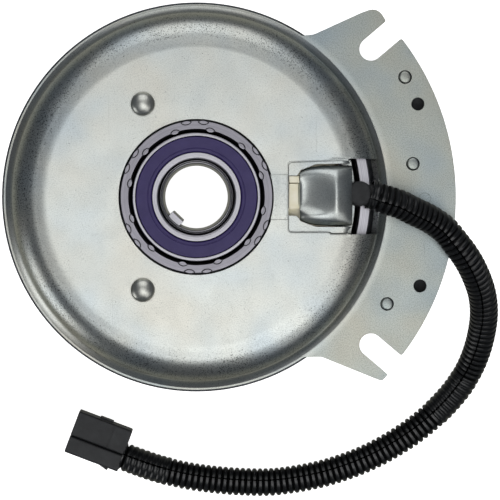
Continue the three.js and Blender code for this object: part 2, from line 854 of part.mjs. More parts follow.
function makeLeafRivets(i) {
  const { shank, head, headHeight } = RIVET;
  const [px, py] = polar(LEAF.circle, leafAngle(i));
  const seat = LEAF.top + FIT_GAP;
  const pulleyRivet = domedRivet(shank, PULLEY.rivetFloor + FIT_GAP, head, seat, headHeight);
  addPiece(`pulley_rivet_${i + 1}`, pulleyRivet.translate(px, py, 0), "zinc");
  const [ax, ay] = polar(LEAF.circle, leafAngle(i) + LEAF.sweep);
  const rise = ARMATURE.rivetTop - LEAF.bottom + FIT_GAP;
  const armatureRivet = domedRivet(shank, -rise, head, 0, headHeight).rotateX(Math.PI);
  addPiece(`armature_rivet_${i + 1}`, armatureRivet.translate(ax, ay, LEAF.bottom - FIT_GAP), "zinc");
}

function makePulley() {
  const { bore, shoulder, boss, top, webBottom, rimInner, outside, groove, edge, bossBottom } = PULLEY;
  const { grooveOuter, grooveInner, snapGroove, padRadius, padTop, rivetFloor } = PULLEY;
  const seat = PULLEY_BEARING.top + FIT_GAP;
  const profile = [
    [bore, bossBottom],
    [boss, bossBottom],
    [boss, webBottom],
    [rimInner, webBottom],
    [rimInner, 0],
    [outside - edge, 0],
    [outside, edge],
    [outside, grooveOuter[0]],
    [groove, grooveInner[0]],
    [groove, grooveInner[1]],
    [outside, grooveOuter[1]],
    [outside, top - edge],
    [outside - edge, top],
    [shoulder, top],
    [shoulder, seat],
    [bore, seat],
    [bore, snapGroove.top],
    [snapGroove.radius, snapGroove.top],
    [snapGroove.radius, snapGroove.bottom],
    [bore, snapGroove.bottom],
  ];
  const pads = [];
  const holes = [];
  for (let i = 0; i < LEAF.count; i++) {
    const place = polar(LEAF.circle, leafAngle(i));
    pads.push(rod(padRadius, top - OVERLAP, padTop, place, PAD_ROUND));
    holes.push(rod(RIVET.shank + RIVET_PLAY, rivetFloor, padTop + OVERRUN, place));
  }
  addPiece("pulley", cut(join(turned(profile), ...pads), ...holes), "castIron");
}

// ---------------------------------------------------------------- loom and plug

function makeLoom() {
  addPiece("wire_loom", swept(LOOM_ROUTE, LOOM.radius, LOOM.sides, LOOM.steps), "loom");
}

function placeOnPlug(geometry) {
  return turnAboutZ(geometry, PLUG.angle).translate(PLUG.centre[0], PLUG.centre[1], 0);
}

// A long block with broken edges, lying along X.
function edgedBlock([x0, x1], [y0, y1], height, edge) {
  const end = new THREE.Shape();
  end.moveTo(y0 + edge, 0);
  end.lineTo(y1 - edge, 0);
  end.lineTo(y1, edge);
  end.lineTo(y1, height - edge);
  end.lineTo(y1 - edge, height);
  end.lineTo(y0 + edge, height);
  end.lineTo(y0, height - edge);
  end.lineTo(y0, edge);
  return plate(end, x0, x1).rotateX(Math.PI / 2).rotateZ(Math.PI / 2);
}

function makePlug() {
  const { halfLength, height, edge, housing, lock, cavity, terminal, latch, bump } = PLUG;
  const length = [-halfLength, halfLength];
  const { across, halfWidth, halfHeight, depth, heights } = cavity;
  const cavities = heights.map((z) => box(
    [-halfLength - OVERRUN, depth - halfLength],
    [across - halfWidth, across + halfWidth],
    [z - halfHeight, z + halfHeight],
  ));
  const rail = box(bump.x, [housing[1] - OVERLAP, housing[1] + bump.out], [bump.bottom, bump.top]);
  const shell = join(edgedBlock(length, housing, height, edge), rail);
  addPiece("connector_housing", placeOnPlug(cut(shell, ...cavities)), "plastic");
  heights.forEach((z, i) => {
    const blade = box(
      [terminal.start, terminal.start + terminal.length],
      [across - terminal.halfWidth, across + terminal.halfWidth],
      [z - terminal.halfHeight, z + terminal.halfHeight],
    );
    addPiece(`connector_terminal_${i + 1}`, placeOnPlug(blade), "tin");
  });
  const ramp = new THREE.Shape();
  ramp.moveTo(latch.start, lock[0] + OVERLAP);
  ramp.lineTo(latch.start, lock[0]);
  ramp.lineTo(latch.peak, lock[0] - latch.out);
  ramp.lineTo(latch.end, lock[0] + OVERLAP);
  const cover = join(edgedBlock(length, lock, height, edge), plate(ramp, latch.bottom, latch.top));
  addPiece("connector_lock", placeOnPlug(cover), "plastic");
}

// ---------------------------------------------------------------- assembly

makeHousing();
makeCarrier();
makeFieldCore();
makeCoil();
makeLeads();
makeGrommet();
makeHousingRivets();
makeBearing(FIELD_BEARING, "violetSeal");
makeBrake();
makeBrakeBolts();
makeHub();
makeRotorDisc();
makeSpacer();
makeSnapRing("hub_snap_ring", HUB_RING);
makeBearing(PULLEY_BEARING, "rubber");
makeSnapRing("pulley_snap_ring", PULLEY_RING);
makeArmature();
for (let i = 0; i < LEAF.count; i++) {
  makeLeafSpring(i);
  makeLeafRivets(i);
}
makePulley();
makeLoom();
makePlug();

export default clutch;
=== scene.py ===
"""Electromagnetic clutch and brake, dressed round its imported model: engine side up, pulley side down."""
import logging
import math
from collections.abc import Sequence
from dataclasses import dataclass, field
from enum import Enum

import bpy
import numpy as np
from mathutils import Matrix, Vector


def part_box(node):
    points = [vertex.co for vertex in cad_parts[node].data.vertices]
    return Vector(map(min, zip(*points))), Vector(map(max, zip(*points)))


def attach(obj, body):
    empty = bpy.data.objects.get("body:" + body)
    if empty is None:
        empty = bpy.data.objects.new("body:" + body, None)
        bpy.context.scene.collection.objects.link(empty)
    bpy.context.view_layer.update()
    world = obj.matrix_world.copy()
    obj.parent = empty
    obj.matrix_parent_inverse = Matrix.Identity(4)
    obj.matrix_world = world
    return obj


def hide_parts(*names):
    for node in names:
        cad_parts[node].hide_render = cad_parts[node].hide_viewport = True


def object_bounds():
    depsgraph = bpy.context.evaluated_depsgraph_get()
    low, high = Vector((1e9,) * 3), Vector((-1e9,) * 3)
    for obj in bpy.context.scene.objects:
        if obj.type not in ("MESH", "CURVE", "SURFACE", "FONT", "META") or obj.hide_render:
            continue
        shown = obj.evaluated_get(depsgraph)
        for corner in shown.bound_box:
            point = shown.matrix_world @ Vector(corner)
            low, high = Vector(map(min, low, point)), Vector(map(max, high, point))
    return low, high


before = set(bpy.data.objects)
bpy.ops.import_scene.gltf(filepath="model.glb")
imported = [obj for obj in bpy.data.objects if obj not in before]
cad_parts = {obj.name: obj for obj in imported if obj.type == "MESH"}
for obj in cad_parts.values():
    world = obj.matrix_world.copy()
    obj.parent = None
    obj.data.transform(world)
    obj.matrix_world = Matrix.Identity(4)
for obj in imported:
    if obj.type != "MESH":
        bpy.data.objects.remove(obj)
CAD_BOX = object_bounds()

LOG = logging.getLogger("clutch")
MM = 0.001
WELD = 1e-6
UP = (0.0, 0.0, 1.0)
Point = tuple[float, float]
Corner = tuple[float, float, float]

# The angle and radius of each bolt that goes through the fan and the brake plate.
BOLTS: tuple[Point, ...] = ((29.9, 105.8), (8.7, 96.3), (-29.3, 96.1))


class Slot(Enum):
    """The record's names for the finishes."""

    ZINC = "zinc_plated_steel"
    BEARING = "bearing_steel"
    STEEL = "bare_steel"
    IRON = "cast_iron"
    SEAL = "violet_seal"
    RUBBER = "black_rubber"
    NYLON = "cream_nylon"
    COIL = "coil_wire"
    FERRITE = "ferrite"
    LOOM = "loom_plastic"
    PLUG = "connector_plastic"
    TIN = "tinned_brass"
    LEAD = "lead_insulation"


class Shade(Enum):
    """How the faces of a piece meet in the light, as the angle past which an edge stays sharp."""

    TURNED = 32.0
    STAMPED = 40.0
    MOULDED = 60.0


# ---------------------------------------------------------------- outlines


def arc(centre: Point, radius: float, start: float, end: float, steps: int = 8) -> list[Point]:
    """Points along an arc.

    Args:
        centre: the arc's centre, in millimetres.
        radius: its radius, in millimetres.
        start: the angle of the first point, in degrees.
        end: the angle of the last point, in degrees.
        steps: how many chords the arc is drawn with.

    Returns:
        The points from start to end.
    """
    angles = [math.radians(start + (end - start) * i / steps) for i in range(steps + 1)]
    return [(centre[0] + radius * math.cos(a), centre[1] + radius * math.sin(a)) for a in angles]


def rounded(corners: Sequence[Corner], steps: int = 4) -> list[Point]:
    """A closed outline whose corners are rounded.

    Args:
        corners: each corner's two coordinates and its fillet radius, in millimetres; 0 stays sharp.
        steps: how many chords each fillet is drawn with.

    Returns:
        The outline's points.
    """
    points: list[Point] = []
    for index, (x, y, fillet) in enumerate(corners):
        if not fillet:
            points.append((x, y))
            continue
        here = Vector((x, y))
        back = (Vector(corners[index - 1][:2]) - here).normalized()
        onward = (Vector(corners[(index + 1) % len(corners)][:2]) - here).normalized()
        half = back.angle(onward) / 2
        centre = here + (back + onward).normalized() * fillet / math.sin(half)
        first = here + back * fillet / math.tan(half) - centre
        turn = math.copysign(math.pi - 2 * half, -back.cross(onward))
        for step in range(steps + 1):
            spoke = Matrix.Rotation(turn * step / steps, 2) @ first
            points.append(tuple(centre + spoke))
    return points


def polar(radius: float, degrees: float) -> Point:
    """The point at that radius and angle about the crankshaft axis."""
    return radius * math.cos(math.radians(degrees)), radius * math.sin(math.radians(degrees))


def sector(inner: float, outer: float, start: float, end: float, fillet: float = 0.6) -> list[Point]:
    """The outline of a piece of a flat ring.

    Args:
        inner: inner radius, in millimetres.
        outer: outer radius, in millimetres.
        start: first angle, in degrees.
        end: last angle, in degrees.
        fillet: the radius of its four corners, in millimetres.

    Returns:
        The outline's points.
    """
    steps = max(4, round((end - start) / 3))
    margins = [math.degrees(1.6 * fillet / radius) for radius in (outer, inner)]
    outside = arc((0, 0), outer, start + margins[0], end - margins[0], steps)
    inside = arc((0, 0), inner, end - margins[1], start + margins[1], steps)
    corners = [(*polar(outer, start), fillet)] + [(*p, 0.0) for p in outside]
    corners += [(*polar(outer, end), fillet), (*polar(inner, end), fillet)]
    corners += [(*p, 0.0) for p in inside] + [(*polar(inner, start), fillet)]
    return rounded(corners)


def spans(node: str) -> tuple[Vector, Vector]:
    """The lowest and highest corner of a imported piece, in millimetres."""
    low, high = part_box(node)
    return low / MM, high / MM


# ---------------------------------------------------------------- modelling


class Bench:
    """Modelling by hand: each method works on one piece with the edit-mode operators."""

    @staticmethod
    def clear() -> None:
        """Leaves nothing selected, so that an operator acts on the new piece alone."""
        if bpy.context.mode != "OBJECT":
            bpy.ops.object.mode_set(mode="OBJECT")
        bpy.ops.object.select_all(action="DESELECT")

    @staticmethod
    def pick(piece: bpy.types.Object) -> None:
        """Selects one piece and makes it the active one."""
        Bench.clear()
        piece.select_set(True)
        bpy.context.view_layer.objects.active = piece

    @staticmethod
    def chain(name: str, points: Sequence[Vector]) -> bpy.types.Object:
        """Draws a closed chain of edges and stays in edit mode.

        Args:
            name: the new piece's name.
            points: the chain's points, in metres.

        Returns:
            The new piece.
        """
        Bench.clear()
        bpy.ops.mesh.primitive_plane_add(size=MM)
        piece = bpy.context.object
        piece.name = piece.data.name = name
        bpy.ops.object.mode_set(mode="EDIT")
        bpy.ops.mesh.merge(type="CENTER")
        bpy.ops.transform.translate(value=points[0])
        for before, after in zip(points, [*points[1:], points[0]]):
            bpy.ops.mesh.extrude_vertices_move(TRANSFORM_OT_translate={"value": after - before})
        bpy.ops.mesh.select_all(action="SELECT")
        bpy.ops.mesh.remove_doubles(threshold=WELD)
        return piece

    @staticmethod
    def turned(name: str, profile: Sequence[Point], steps: int = 128) -> bpy.types.Object:
        """Spins a closed profile of radii and heights about the crankshaft axis.

        Args:
            name: the new piece's name.
            profile: the profile's points, in millimetres.
            steps: how many facets go round.

        Returns:
            The new piece.
        """
        piece = Bench.chain(name, [Vector((r, 0, z)) * MM for r, z in profile])
        bpy.ops.mesh.spin(steps=steps, angle=math.tau, center=(0, 0, 0), axis=UP)
        bpy.ops.mesh.select_all(action="SELECT")
        bpy.ops.mesh.remove_doubles(threshold=WELD)
        bpy.ops.mesh.normals_make_consistent(inside=False)
        bpy.ops.object.mode_set(mode="OBJECT")
        return piece

    @staticmethod
    def drawn(name: str, points: Sequence[Vector], sweep: Vector) -> bpy.types.Object:
        """Fills a closed outline and extrudes it straight.

        Args:
            name: the new piece's name.
            points: the outline's points, in metres.
            sweep: how far and which way it is extruded, in metres.

        Returns:
            The new piece.
        """
        piece = Bench.chain(name, points)
        bpy.ops.mesh.edge_face_add()
        bpy.ops.mesh.extrude_region_move(TRANSFORM_OT_translate={"value": sweep})
        bpy.ops.mesh.select_all(action="SELECT")
        bpy.ops.mesh.normals_make_consistent(inside=False)
        bpy.ops.object.mode_set(mode="OBJECT")
        return piece

    @staticmethod
    def plate(name: str, outline: Sequence[Point], bottom: float, top: float) -> bpy.types.Object:
        """A flat piece of that outline between two heights, all in millimetres."""
        points = [Vector((x, y, bottom)) * MM for x, y in outline]
        return Bench.drawn(name, points, Vector((0, 0, top - bottom)) * MM)

    @staticmethod
    def across(name: str, outline: Sequence[Point], start: float, end: float) -> bpy.types.Object:
        """A bar along Y whose section is an outline in X and Z, all in millimetres."""
        points = [Vector((x, start, z)) * MM for x, z in outline]
        return Bench.drawn(name, points, Vector((0, end - start, 0)) * MM)

    @staticmethod
    def lengthwise(name: str, outline: Sequence[Point], start: float, end: float) -> bpy.types.Object:
        """A bar along X whose section is an outline in Y and Z, all in millimetres."""
        points = [Vector((start, y, z)) * MM for y, z in outline]
        return Bench.drawn(name, points, Vector((end - start, 0, 0)) * MM)

    @staticmethod
    def rod(name: str, radius: float, bottom: float, top: float, place: Point = (0, 0),
            facets: int = 24) -> bpy.types.Object:
        """A round bar at a place, all in millimetres, with no more facets than a small hole needs."""
        circle = arc(place, radius, 0, 360 - 360 / facets, facets - 1)
        return Bench.plate(name, circle, bottom, top)

    @staticmethod
    def apply(piece: bpy.types.Object, kind: str, **settings: object) -> None:
        """Adds a modifier and applies it.

        Args:
            piece: the piece that it shapes.
            kind: the modifier's type.
            settings: the modifier's properties.
        """
        Bench.pick(piece)
        modifier = piece.modifiers.new(kind.lower(), kind)
        for key, value in settings.items():
            setattr(modifier, key, value)
        bpy.ops.object.modifier_apply(modifier=modifier.name)

    @staticmethod
    def combine(piece: bpy.types.Object, tool: bpy.types.Object, operation: str = "DIFFERENCE") -> None:
        """Cuts a tool out of a piece, joins it on or keeps what they share, and removes the tool."""
        Bench.apply(piece, "BOOLEAN", object=tool, operation=operation, solver="EXACT")
        bpy.data.objects.remove(tool)

    @staticmethod
    def edges(piece: bpy.types.Object, width: float, angle: float = 50, segments: int = 2) -> None:
        """Breaks the sharp edges of a piece.

        Args:
            piece: the piece.
            width: how wide the broken edge is, in millimetres.
            angle: the angle past which an edge is broken, in degrees.
            segments: how many facets the broken edge has.
        """
        options = {"limit_method": "ANGLE", "angle_limit": math.radians(angle), "use_clamp_overlap": True}
        Bench.apply(piece, "BEVEL", width=width * MM, segments=segments, **options)

    @staticmethod
    def place(piece: bpy.types.Object, matrix: Matrix) -> bpy.types.Object:
        """Moves a piece as a matrix says and puts its place into its mesh."""
        piece.data.transform(matrix)
        piece.data.update()
        return piece

    @staticmethod
    def copied(piece: bpy.types.Object, name: str, matrix: Matrix) -> bpy.types.Object:
        """A copy with its own mesh, moved as a matrix says."""
        twin = piece.copy()
        twin.data = piece.data.copy()
        twin.name = twin.data.name = name
        bpy.context.scene.collection.objects.link(twin)
        return Bench.place(twin, matrix)

    @staticmethod
    def joined(pieces: Sequence[bpy.types.Object]) -> bpy.types.Object:
        """Joins pieces into the first one."""
        Bench.pick(pieces[0])
        for piece in pieces[1:]:
            piece.select_set(True)
        bpy.ops.object.join()
        return pieces[0]

    @staticmethod
    def shade(piece: bpy.types.Object, shade: Shade) -> None:
        """Smooths the faces that meet at less than the shade's angle, and keeps the large ones flat."""
        Bench.pick(piece)
        bpy.ops.object.shade_smooth_by_angle(angle=math.radians(shade.value))
        Bench.apply(piece, "WEIGHTED_NORMAL", mode="FACE_AREA", weight=50, keep_sharp=True)


def turn(degrees: float) -> Matrix:
    """A turn about the crankshaft axis."""
    return Matrix.Rotation(math.radians(degrees), 4, "Z")


def shift(x: float, y: float, z: float) -> Matrix:
    """A move in millimetres."""
    return Matrix.Translation(Vector((x, y, z)) * MM)


# ---------------------------------------------------------------- finishes


def linear(code: str, alpha: float = 1.0) -> tuple[float, float, float, float]:
    """Turns an sRGB hex colour such as c9cbc8 into linear values."""
    parts = [int(code[i:i + 2], 16) / 255 for i in (0, 2, 4)]
    flat = [p / 12.92 if p <= 0.04045 else ((p + 0.055) / 1.055) ** 2.4 for p in parts]
    return flat[0], flat[1], flat[2], alpha


def add(tree: bpy.types.NodeTree, kind: str, settings: dict | None = None, **links: object) -> bpy.types.Node:
    """Adds one node with its settings and links.

    Args:
        tree: the material's node tree.
        kind: the node's type, without its ShaderNode prefix.
        settings: its properties and unlinked inputs, by name or input number.
        links: sockets that feed its inputs; an underscore in a name stands for a space, and a leading
            one for an input number.

    Returns:
        The new node.
    """
    node = tree.nodes.new("ShaderNode" + kind)
    for key, value in (settings or {}).items():
        if isinstance(key, str) and hasattr(node, key):
            setattr(node, key, value)
        else:
            node.inputs[key].default_value = value
    for key, source in links.items():
        target = int(key[1:]) if key.startswith("_") else key.replace("_", " ")
        tree.links.new(source, node.inputs[target])
    return node


def ramp(tree: bpy.types.NodeTree, source: object,
         stops: Sequence[tuple[float, str]]) -> bpy.types.NodeSocket:
    """A colour ramp over a value, with each stop's place and sRGB hex colour."""
    node = add(tree, "ValToRGB", Fac=source)
    bar = node.color_ramp.elements
    while len(bar) < len(stops):
        bar.new(0.5)
    for element, (position, code) in zip(bar, stops):
        element.position = position
        element.color = linear(code)
    return node.outputs["Color"]


def spread(tree: bpy.types.NodeTree, source: object, low: float, high: float) -> bpy.types.NodeSocket:
    """Maps a value from 0 to 1 onto a range."""
    settings = {"To Min": low, "To Max": high}
    return add(tree, "MapRange", settings, Value=source).outputs["Result"]


def noise(tree: bpy.types.NodeTree, size: float, detail: float = 4,
          vector: object = None) -> bpy.types.NodeSocket:
    """Cloudy noise.

    Args:
        tree: the material's node tree.
        size: how wide one cloud is, in millimetres.
        detail: how many finer layers it has.
        vector: the coordinates it reads; the object's own where there is none.

    Returns:
        The noise, from 0 to 1.
    """
    place = vector or add(tree, "TexCoord").outputs["Object"]
    settings = {"Scale": 1 / (size * MM), "Detail": detail, "Roughness": 0.6}
    return add(tree, "TexNoise", settings, Vector=place).outputs["Fac"]


def squeezed(tree: bpy.types.NodeTree, scale: tuple[float, float, float],
             turned: float = 0) -> bpy.types.NodeSocket:
    """The object's coordinates, stretched so that a pattern runs lengthwise, turned about Z in degrees."""
    place = add(tree, "TexCoord").outputs["Object"]
    settings = {"Scale": scale, "Rotation": (0, 0, math.radians(turned))}
    return add(tree, "Mapping", settings, Vector=place).outputs["Vector"]


def radius_of(tree: bpy.types.NodeTree) -> bpy.types.NodeSocket:
    """How far a point is from the crankshaft axis, in metres."""
    flat = squeezed(tree, (1, 1, 0))
    return add(tree, "VectorMath", {"operation": "LENGTH"}, Vector=flat).outputs["Value"]


@dataclass(frozen=True)
class Finish:
    """A finish: the values that are the same all over, and what its pattern adds.

    Attributes:
        name: the real material.
        metallic: 1 for bare metal, 0 for the rest.
        roughness: the middle of its roughness.
        specular: how much it reflects head on; 0.5 is the usual.
        coat: how much clear lacquer or oil lies on it.
        crevice_shade_reach: how far painted shade reaches out of a crevice, in millimetres; 0 for none.
    """

    name: str
    metallic: float = 0.0
    roughness: float = 0.5
    specular: float = 0.5
    coat: float = 0.0
    crevice_shade_reach: float = 0.0

    def colour(self, tree: bpy.types.NodeTree) -> bpy.types.NodeSocket:
        """The colour pattern."""
        raise NotImplementedError

    def polish(self, tree: bpy.types.NodeTree) -> bpy.types.NodeSocket:
        """The roughness pattern."""
        return spread(tree, noise(tree, 6), self.roughness - 0.06, self.roughness + 0.06)

    def relief(self, tree: bpy.types.NodeTree) -> tuple[bpy.types.NodeSocket, float]:
        """The height pattern, from 0 to 1, and its depth in millimetres."""
        return noise(tree, 0.4), 0.01

    def crevice_shaded(self, tree: bpy.types.NodeTree, colour: bpy.types.NodeSocket) -> bpy.types.NodeSocket:
        """Painted shade: ambient occlusion darkens the colour wherever a crevice is narrower than the shade's
        reach.
        """
        if not self.crevice_shade_reach:
            return colour
        # Ambient occlusion measures how shut in each point is, and the ramp turns that into painted shade.
        settings = {"Distance": self.crevice_shade_reach * MM, "samples": 6}
        open_sky = add(tree, "AmbientOcclusion", settings).outputs["AO"]
        painted_crevice_shade = ramp(tree, open_sky, [(0.3, "17181a"), (0.75, "ffffff")])
        mix = {"data_type": "RGBA", "blend_type": "MULTIPLY", "Factor": 1.0}
        return add(tree, "Mix", mix, _6=colour, _7=painted_crevice_shade).outputs[2]

    def make(self) -> bpy.types.Material:
        """Builds the material."""
        material = bpy.data.materials.new(self.name)
        material.use_nodes = True
        tree = material.node_tree
        tree.nodes.clear()
        height, depth = self.relief(tree)
        bump = add(tree, "Bump", {"Distance": depth * MM, "Strength": 1.0}, Height=height)
        fixed = {"Metallic": self.metallic, "Specular IOR Level": self.specular, "Coat Weight": self.coat}
        colour = self.crevice_shaded(tree, self.colour(tree))
        patterns = {"Base_Color": colour, "Roughness": self.polish(tree), "Normal": bump.outputs[0]}
        shader = add(tree, "BsdfPrincipled", fixed, **patterns)
        add(tree, "OutputMaterial", Surface=shader.outputs[0])
        material.diffuse_color = linear("909090")
        return material


@dataclass(frozen=True)
class ZincPlate(Finish):
    """Bright zinc on pressed steel: silver with straw and blue clouds, a rolled grain and light scuffs.

    Attributes:
        clouds: the colours that it drifts through.
        grain: width of a crystal, in millimetres.
        depth: depth of the grain, in millimetres.
        drawn: the radii between which the drawn shoulder is pitted, in metres.
    """

    clouds: tuple[str, str, str] = ("b8c0c2", "c3c6c1", "c6c5bc")
    grain: float = 0.4
    depth: float = 0.014
    drawn: tuple[float, float, float, float] = (0.065, 0.071, 0.080, 0.084)

    def pits(self, tree: bpy.types.NodeTree) -> bpy.types.NodeSocket:
        """Dark pits that the press has opened where the sheet is drawn over its shoulder."""
        rise, full, fade, end = self.drawn
        radius = radius_of(tree)
        inside = add(tree, "MapRange", {"From Min": rise, "From Max": full}, Value=radius).outputs[0]
        outside = add(tree, "MapRange", {"From Min": end, "From Max": fade}, Value=radius).outputs[0]
        band = add(tree, "Math", {"operation": "MULTIPLY"}, _0=inside, _1=outside).outputs[0]
        patch = spread(tree, noise(tree, 22, 2), 0.0, 0.2)
        push = add(tree, "Math", {"operation": "MULTIPLY"}, _0=band, _1=patch).outputs[0]
        grains = noise(tree, 0.55, 3)
        raised = add(tree, "Math", {"operation": "ADD"}, _0=grains, _1=push).outputs[0]
        return ramp(tree, raised, [(0.64, "ffffff"), (0.74, "4c4d4e")])

    def colour(self, tree: bpy.types.NodeTree) -> bpy.types.NodeSocket:
        """Chromate colours drift over tens of millimetres, with a fine grain of darker crystals; from a
        radius of 83 to 87 millimetres outward the flange is darkened by painted shade.
        """
        drift = ramp(tree, noise(tree, 38, 2), list(zip((0.32, 0.5, 0.68), self.clouds)))
        crystals = ramp(tree, noise(tree, self.grain, 2), [(0.3, "8f9296"), (0.55, "ffffff")])
        mix = {"data_type": "RGBA", "blend_type": "MULTIPLY", "Factor": 0.45}
        plate = add(tree, "Mix", mix, _6=drift, _7=crystals).outputs[2]
        # Painted shade: out past 83 to 87 millimetres the plate is multiplied by itself, so the flange reads
        # darker.
        flange_shade_mask = add(tree, "MapRange", {"From Min": 0.083, "From Max": 0.087}, Value=radius_of(tree)).outputs[0]
        flange_shaded_plate = add(tree, "Mix", mix, _0=spread(tree, flange_shade_mask, 0.0, 0.7), _6=plate, _7=plate).outputs[2]
        return add(tree, "Mix", {**mix, "Factor": 0.8}, _6=flange_shaded_plate, _7=self.pits(tree)).outputs[2]

    def polish(self, tree: bpy.types.NodeTree) -> bpy.types.NodeSocket:
        """Handling has dulled it in patches."""
        return spread(tree, noise(tree, 14, 5), self.roughness - 0.07, self.roughness + 0.09)

    def relief(self, tree: bpy.types.NodeTree) -> tuple[bpy.types.NodeSocket, float]:
        """Rolled grain, drawn at a third of a millimetre so that it shows, crossed by a few long scuffs."""
        grain = noise(tree, self.grain, 3)
        scuffs = noise(tree, 1.2, 1, squeezed(tree, (1, 0.04, 1), 35))
        lines = add(tree, "MapRange", {"From Min": 0.68, "From Max": 0.76}, Value=scuffs).outputs["Result"]
        return add(tree, "Math", {"operation": "SUBTRACT"}, _0=grain, _1=lines).outputs[0], self.depth


@dataclass(frozen=True)
class TurnedSteel(Finish):
    """Steel cut or ground round an axis: fine rings that draw the light out, in a grey of its own.

    Attributes:
        light: the colour between the tool marks.
        dark: the colour in them.
        pitch: one mark to the next, in millimetres.
        depth: their depth, in millimetres.
    """

    light: str = "a3a2a7"
    dark: str = "7a797e"
    pitch: float = 0.35
    depth: float = 0.004

    def rings(self, tree: bpy.types.NodeTree) -> bpy.types.NodeSocket:
        """Tool marks, one pitch apart, with the pitch wandering a little."""
        outward = add(tree, "CombineXYZ", X=radius_of(tree)).outputs[0]
        settings = {"Scale": 1 / (self.pitch * MM), "Detail": 2.0}
        return add(tree, "TexNoise", settings, Vector=outward).outputs["Fac"]

    def colour(self, tree: bpy.types.NodeTree) -> bpy.types.NodeSocket:
        """The tool marks hold a little grey."""
        return ramp(tree, self.rings(tree), [(0.3, self.dark), (0.6, self.light)])

    def relief(self, tree: bpy.types.NodeTree) -> tuple[bpy.types.NodeSocket, float]:
        """The tool marks themselves."""
        return self.rings(tree), self.depth


@dataclass(frozen=True)
class Moulded(Finish):
    """Rubber or plastic from a mould: a matt skin with a fine grain and dust in its colour.

    Attributes:
        base: its own colour.
        worn: its colour where it has been handled.
        grain: width of the mould's grain, in millimetres.
        depth: depth of that grain, in millimetres.
    """

    base: str = "1a1a1b"
    worn: str = "2b2b2c"
    grain: float = 0.25
    depth: float = 0.02

    def colour(self, tree: bpy.types.NodeTree) -> bpy.types.NodeSocket:
        """Paler where it has been handled."""
        return ramp(tree, noise(tree, 5, 6), [(0.35, self.base), (0.75, self.worn)])

    def relief(self, tree: bpy.types.NodeTree) -> tuple[bpy.types.NodeSocket, float]:
        """The mould's eroded grain."""
        return noise(tree, self.grain, 3), self.depth


@dataclass(frozen=True)
class Loom(Moulded):
    """Polyethylene loom: black and waxy, with pale scratches along its ridges that are partly scuffs and
    partly painted highlight.
    """

    def colour(self, tree: bpy.types.NodeTree) -> bpy.types.NodeSocket:
        """Short pale scratches on black: scuffs, brightened into painted highlight."""
        # The pale stops paint the glint of the scuffs into the colour.
        scuff_highlights = noise(tree, 0.7, 3, squeezed(tree, (1, 0.35, 1), -30))
        return ramp(tree, scuff_highlights, [(0.6, self.base), (0.7, self.worn), (0.74, "6b6c6e")])


@dataclass(frozen=True)
class Wound(Finish):
    """Enamelled copper wire in layers: warm brown, with a painted highlight on each turn.

    Attributes:
        wire: thickness of the wire, in millimetres.
    """

    wire: float = 0.7

    def turns(self, tree: bpy.types.NodeTree) -> bpy.types.NodeSocket:
        """One wave for each turn of wire, up the winding's wall."""
        place = squeezed(tree, (0, 0, 1))
        settings = {"bands_direction": "Z", "Scale": math.tau / 20 / (self.wire * MM), "Distortion": 0.4}
        return add(tree, "TexWave", settings, Vector=place).outputs["Fac"]

    def colour(self, tree: bpy.types.NodeTree) -> bpy.types.NodeSocket:
        """Painted shade between the turns and a painted highlight on each turn's crest."""
        return ramp(tree, self.turns(tree), [(0.1, "4a2412"), (0.6, "a35a2e"), (1.0, "c9824f")])

    def relief(self, tree: bpy.types.NodeTree) -> tuple[bpy.types.NodeSocket, float]:
        """Round wires side by side."""
        return self.turns(tree), 0.3


# A finish given a crevice reach has painted shade in its crevices out to that reach.
FINISHES: dict[Slot, Finish] = {
    # Clear-chromated zinc: bright silver, softly mirrored, warm and blue in turn.
    Slot.ZINC: ZincPlate("clear_chromated_zinc_plate", metallic=1.0, roughness=0.36, crevice_shade_reach=1.4),
    # Ground bearing steel: cleaner and paler than plate, with fine rings.
    Slot.BEARING: TurnedSteel("ground_bearing_steel", metallic=1.0, roughness=0.3, crevice_shade_reach=1.2),
    # Machined low-carbon steel with an oil film: darker, with coarser tool marks.
    Slot.STEEL: TurnedSteel(
        "machined_carbon_steel", 1.0, 0.36, crevice_shade_reach=1.2, light="8f8d94", dark="6a696f", pitch=0.6, depth=0.006),
    # Phosphated grey iron: nearly black, with a sandy cast grain.
    Slot.IRON: Moulded("phosphated_grey_iron", 0.7, 0.5, base="3a3c3f", worn="54575b", grain=0.5, depth=0.03),
    # Moulded nitrile rubber in violet, with a soft sheen.
    Slot.SEAL: Moulded(
        "violet_nitrile_rubber", 0.0, 0.52, base="291c55", worn="32255f", grain=0.3, depth=0.008),
    # Carbon-black rubber: dull, a little grey where it has been pushed through its hole.
    Slot.RUBBER: Moulded(
        "carbon_black_rubber", 0.0, 0.72, base="191a1b", worn="303133", grain=0.4, depth=0.03),
    # Natural nylon: cream and slightly waxy.
    Slot.NYLON: Moulded("natural_nylon_66", 0.0, 0.5, base="efe7c9", worn="fbf6e4", grain=0.5, depth=0.008),
    # Enamelled copper wire, one turn beside the next.
    Slot.COIL: Wound("enamelled_copper_wire", metallic=0.9, roughness=0.35),
    # Pressed and sintered ferrite: charcoal with a chalky grain.
    Slot.FERRITE: Moulded("sintered_ferrite", 0.0, 0.75, base="232426", worn="36383b", grain=0.3, depth=0.02),
    # Extruded and corrugated polyethylene: black and waxy, with pale scratches that are partly scuffs and
    # partly painted highlight.
    Slot.LOOM: Loom(
        "corrugated_polyethylene", 0.0, 0.3, crevice_shade_reach=1.0, base="101112", worn="1f2022", grain=0.5, depth=0.02),
    # Glass-filled nylon: black and nearly matt.
    Slot.PLUG: Moulded("glass_filled_nylon", 0.0, 0.55, base="17181a", worn="26282a", grain=0.2, depth=0.012),
    # Hot-dipped tin on brass: soft white metal.
    Slot.TIN: TurnedSteel("hot_dipped_tin", 1.0, 0.3, light="d8d6cc", dark="b5b2a6", pitch=0.8, depth=0.004),
    # Extruded lead insulation in red.
    Slot.LEAD: Moulded(
        "extruded_pvc_insulation", 0.0, 0.42, base="7d1717", worn="962222", grain=0.3, depth=0.006),
}


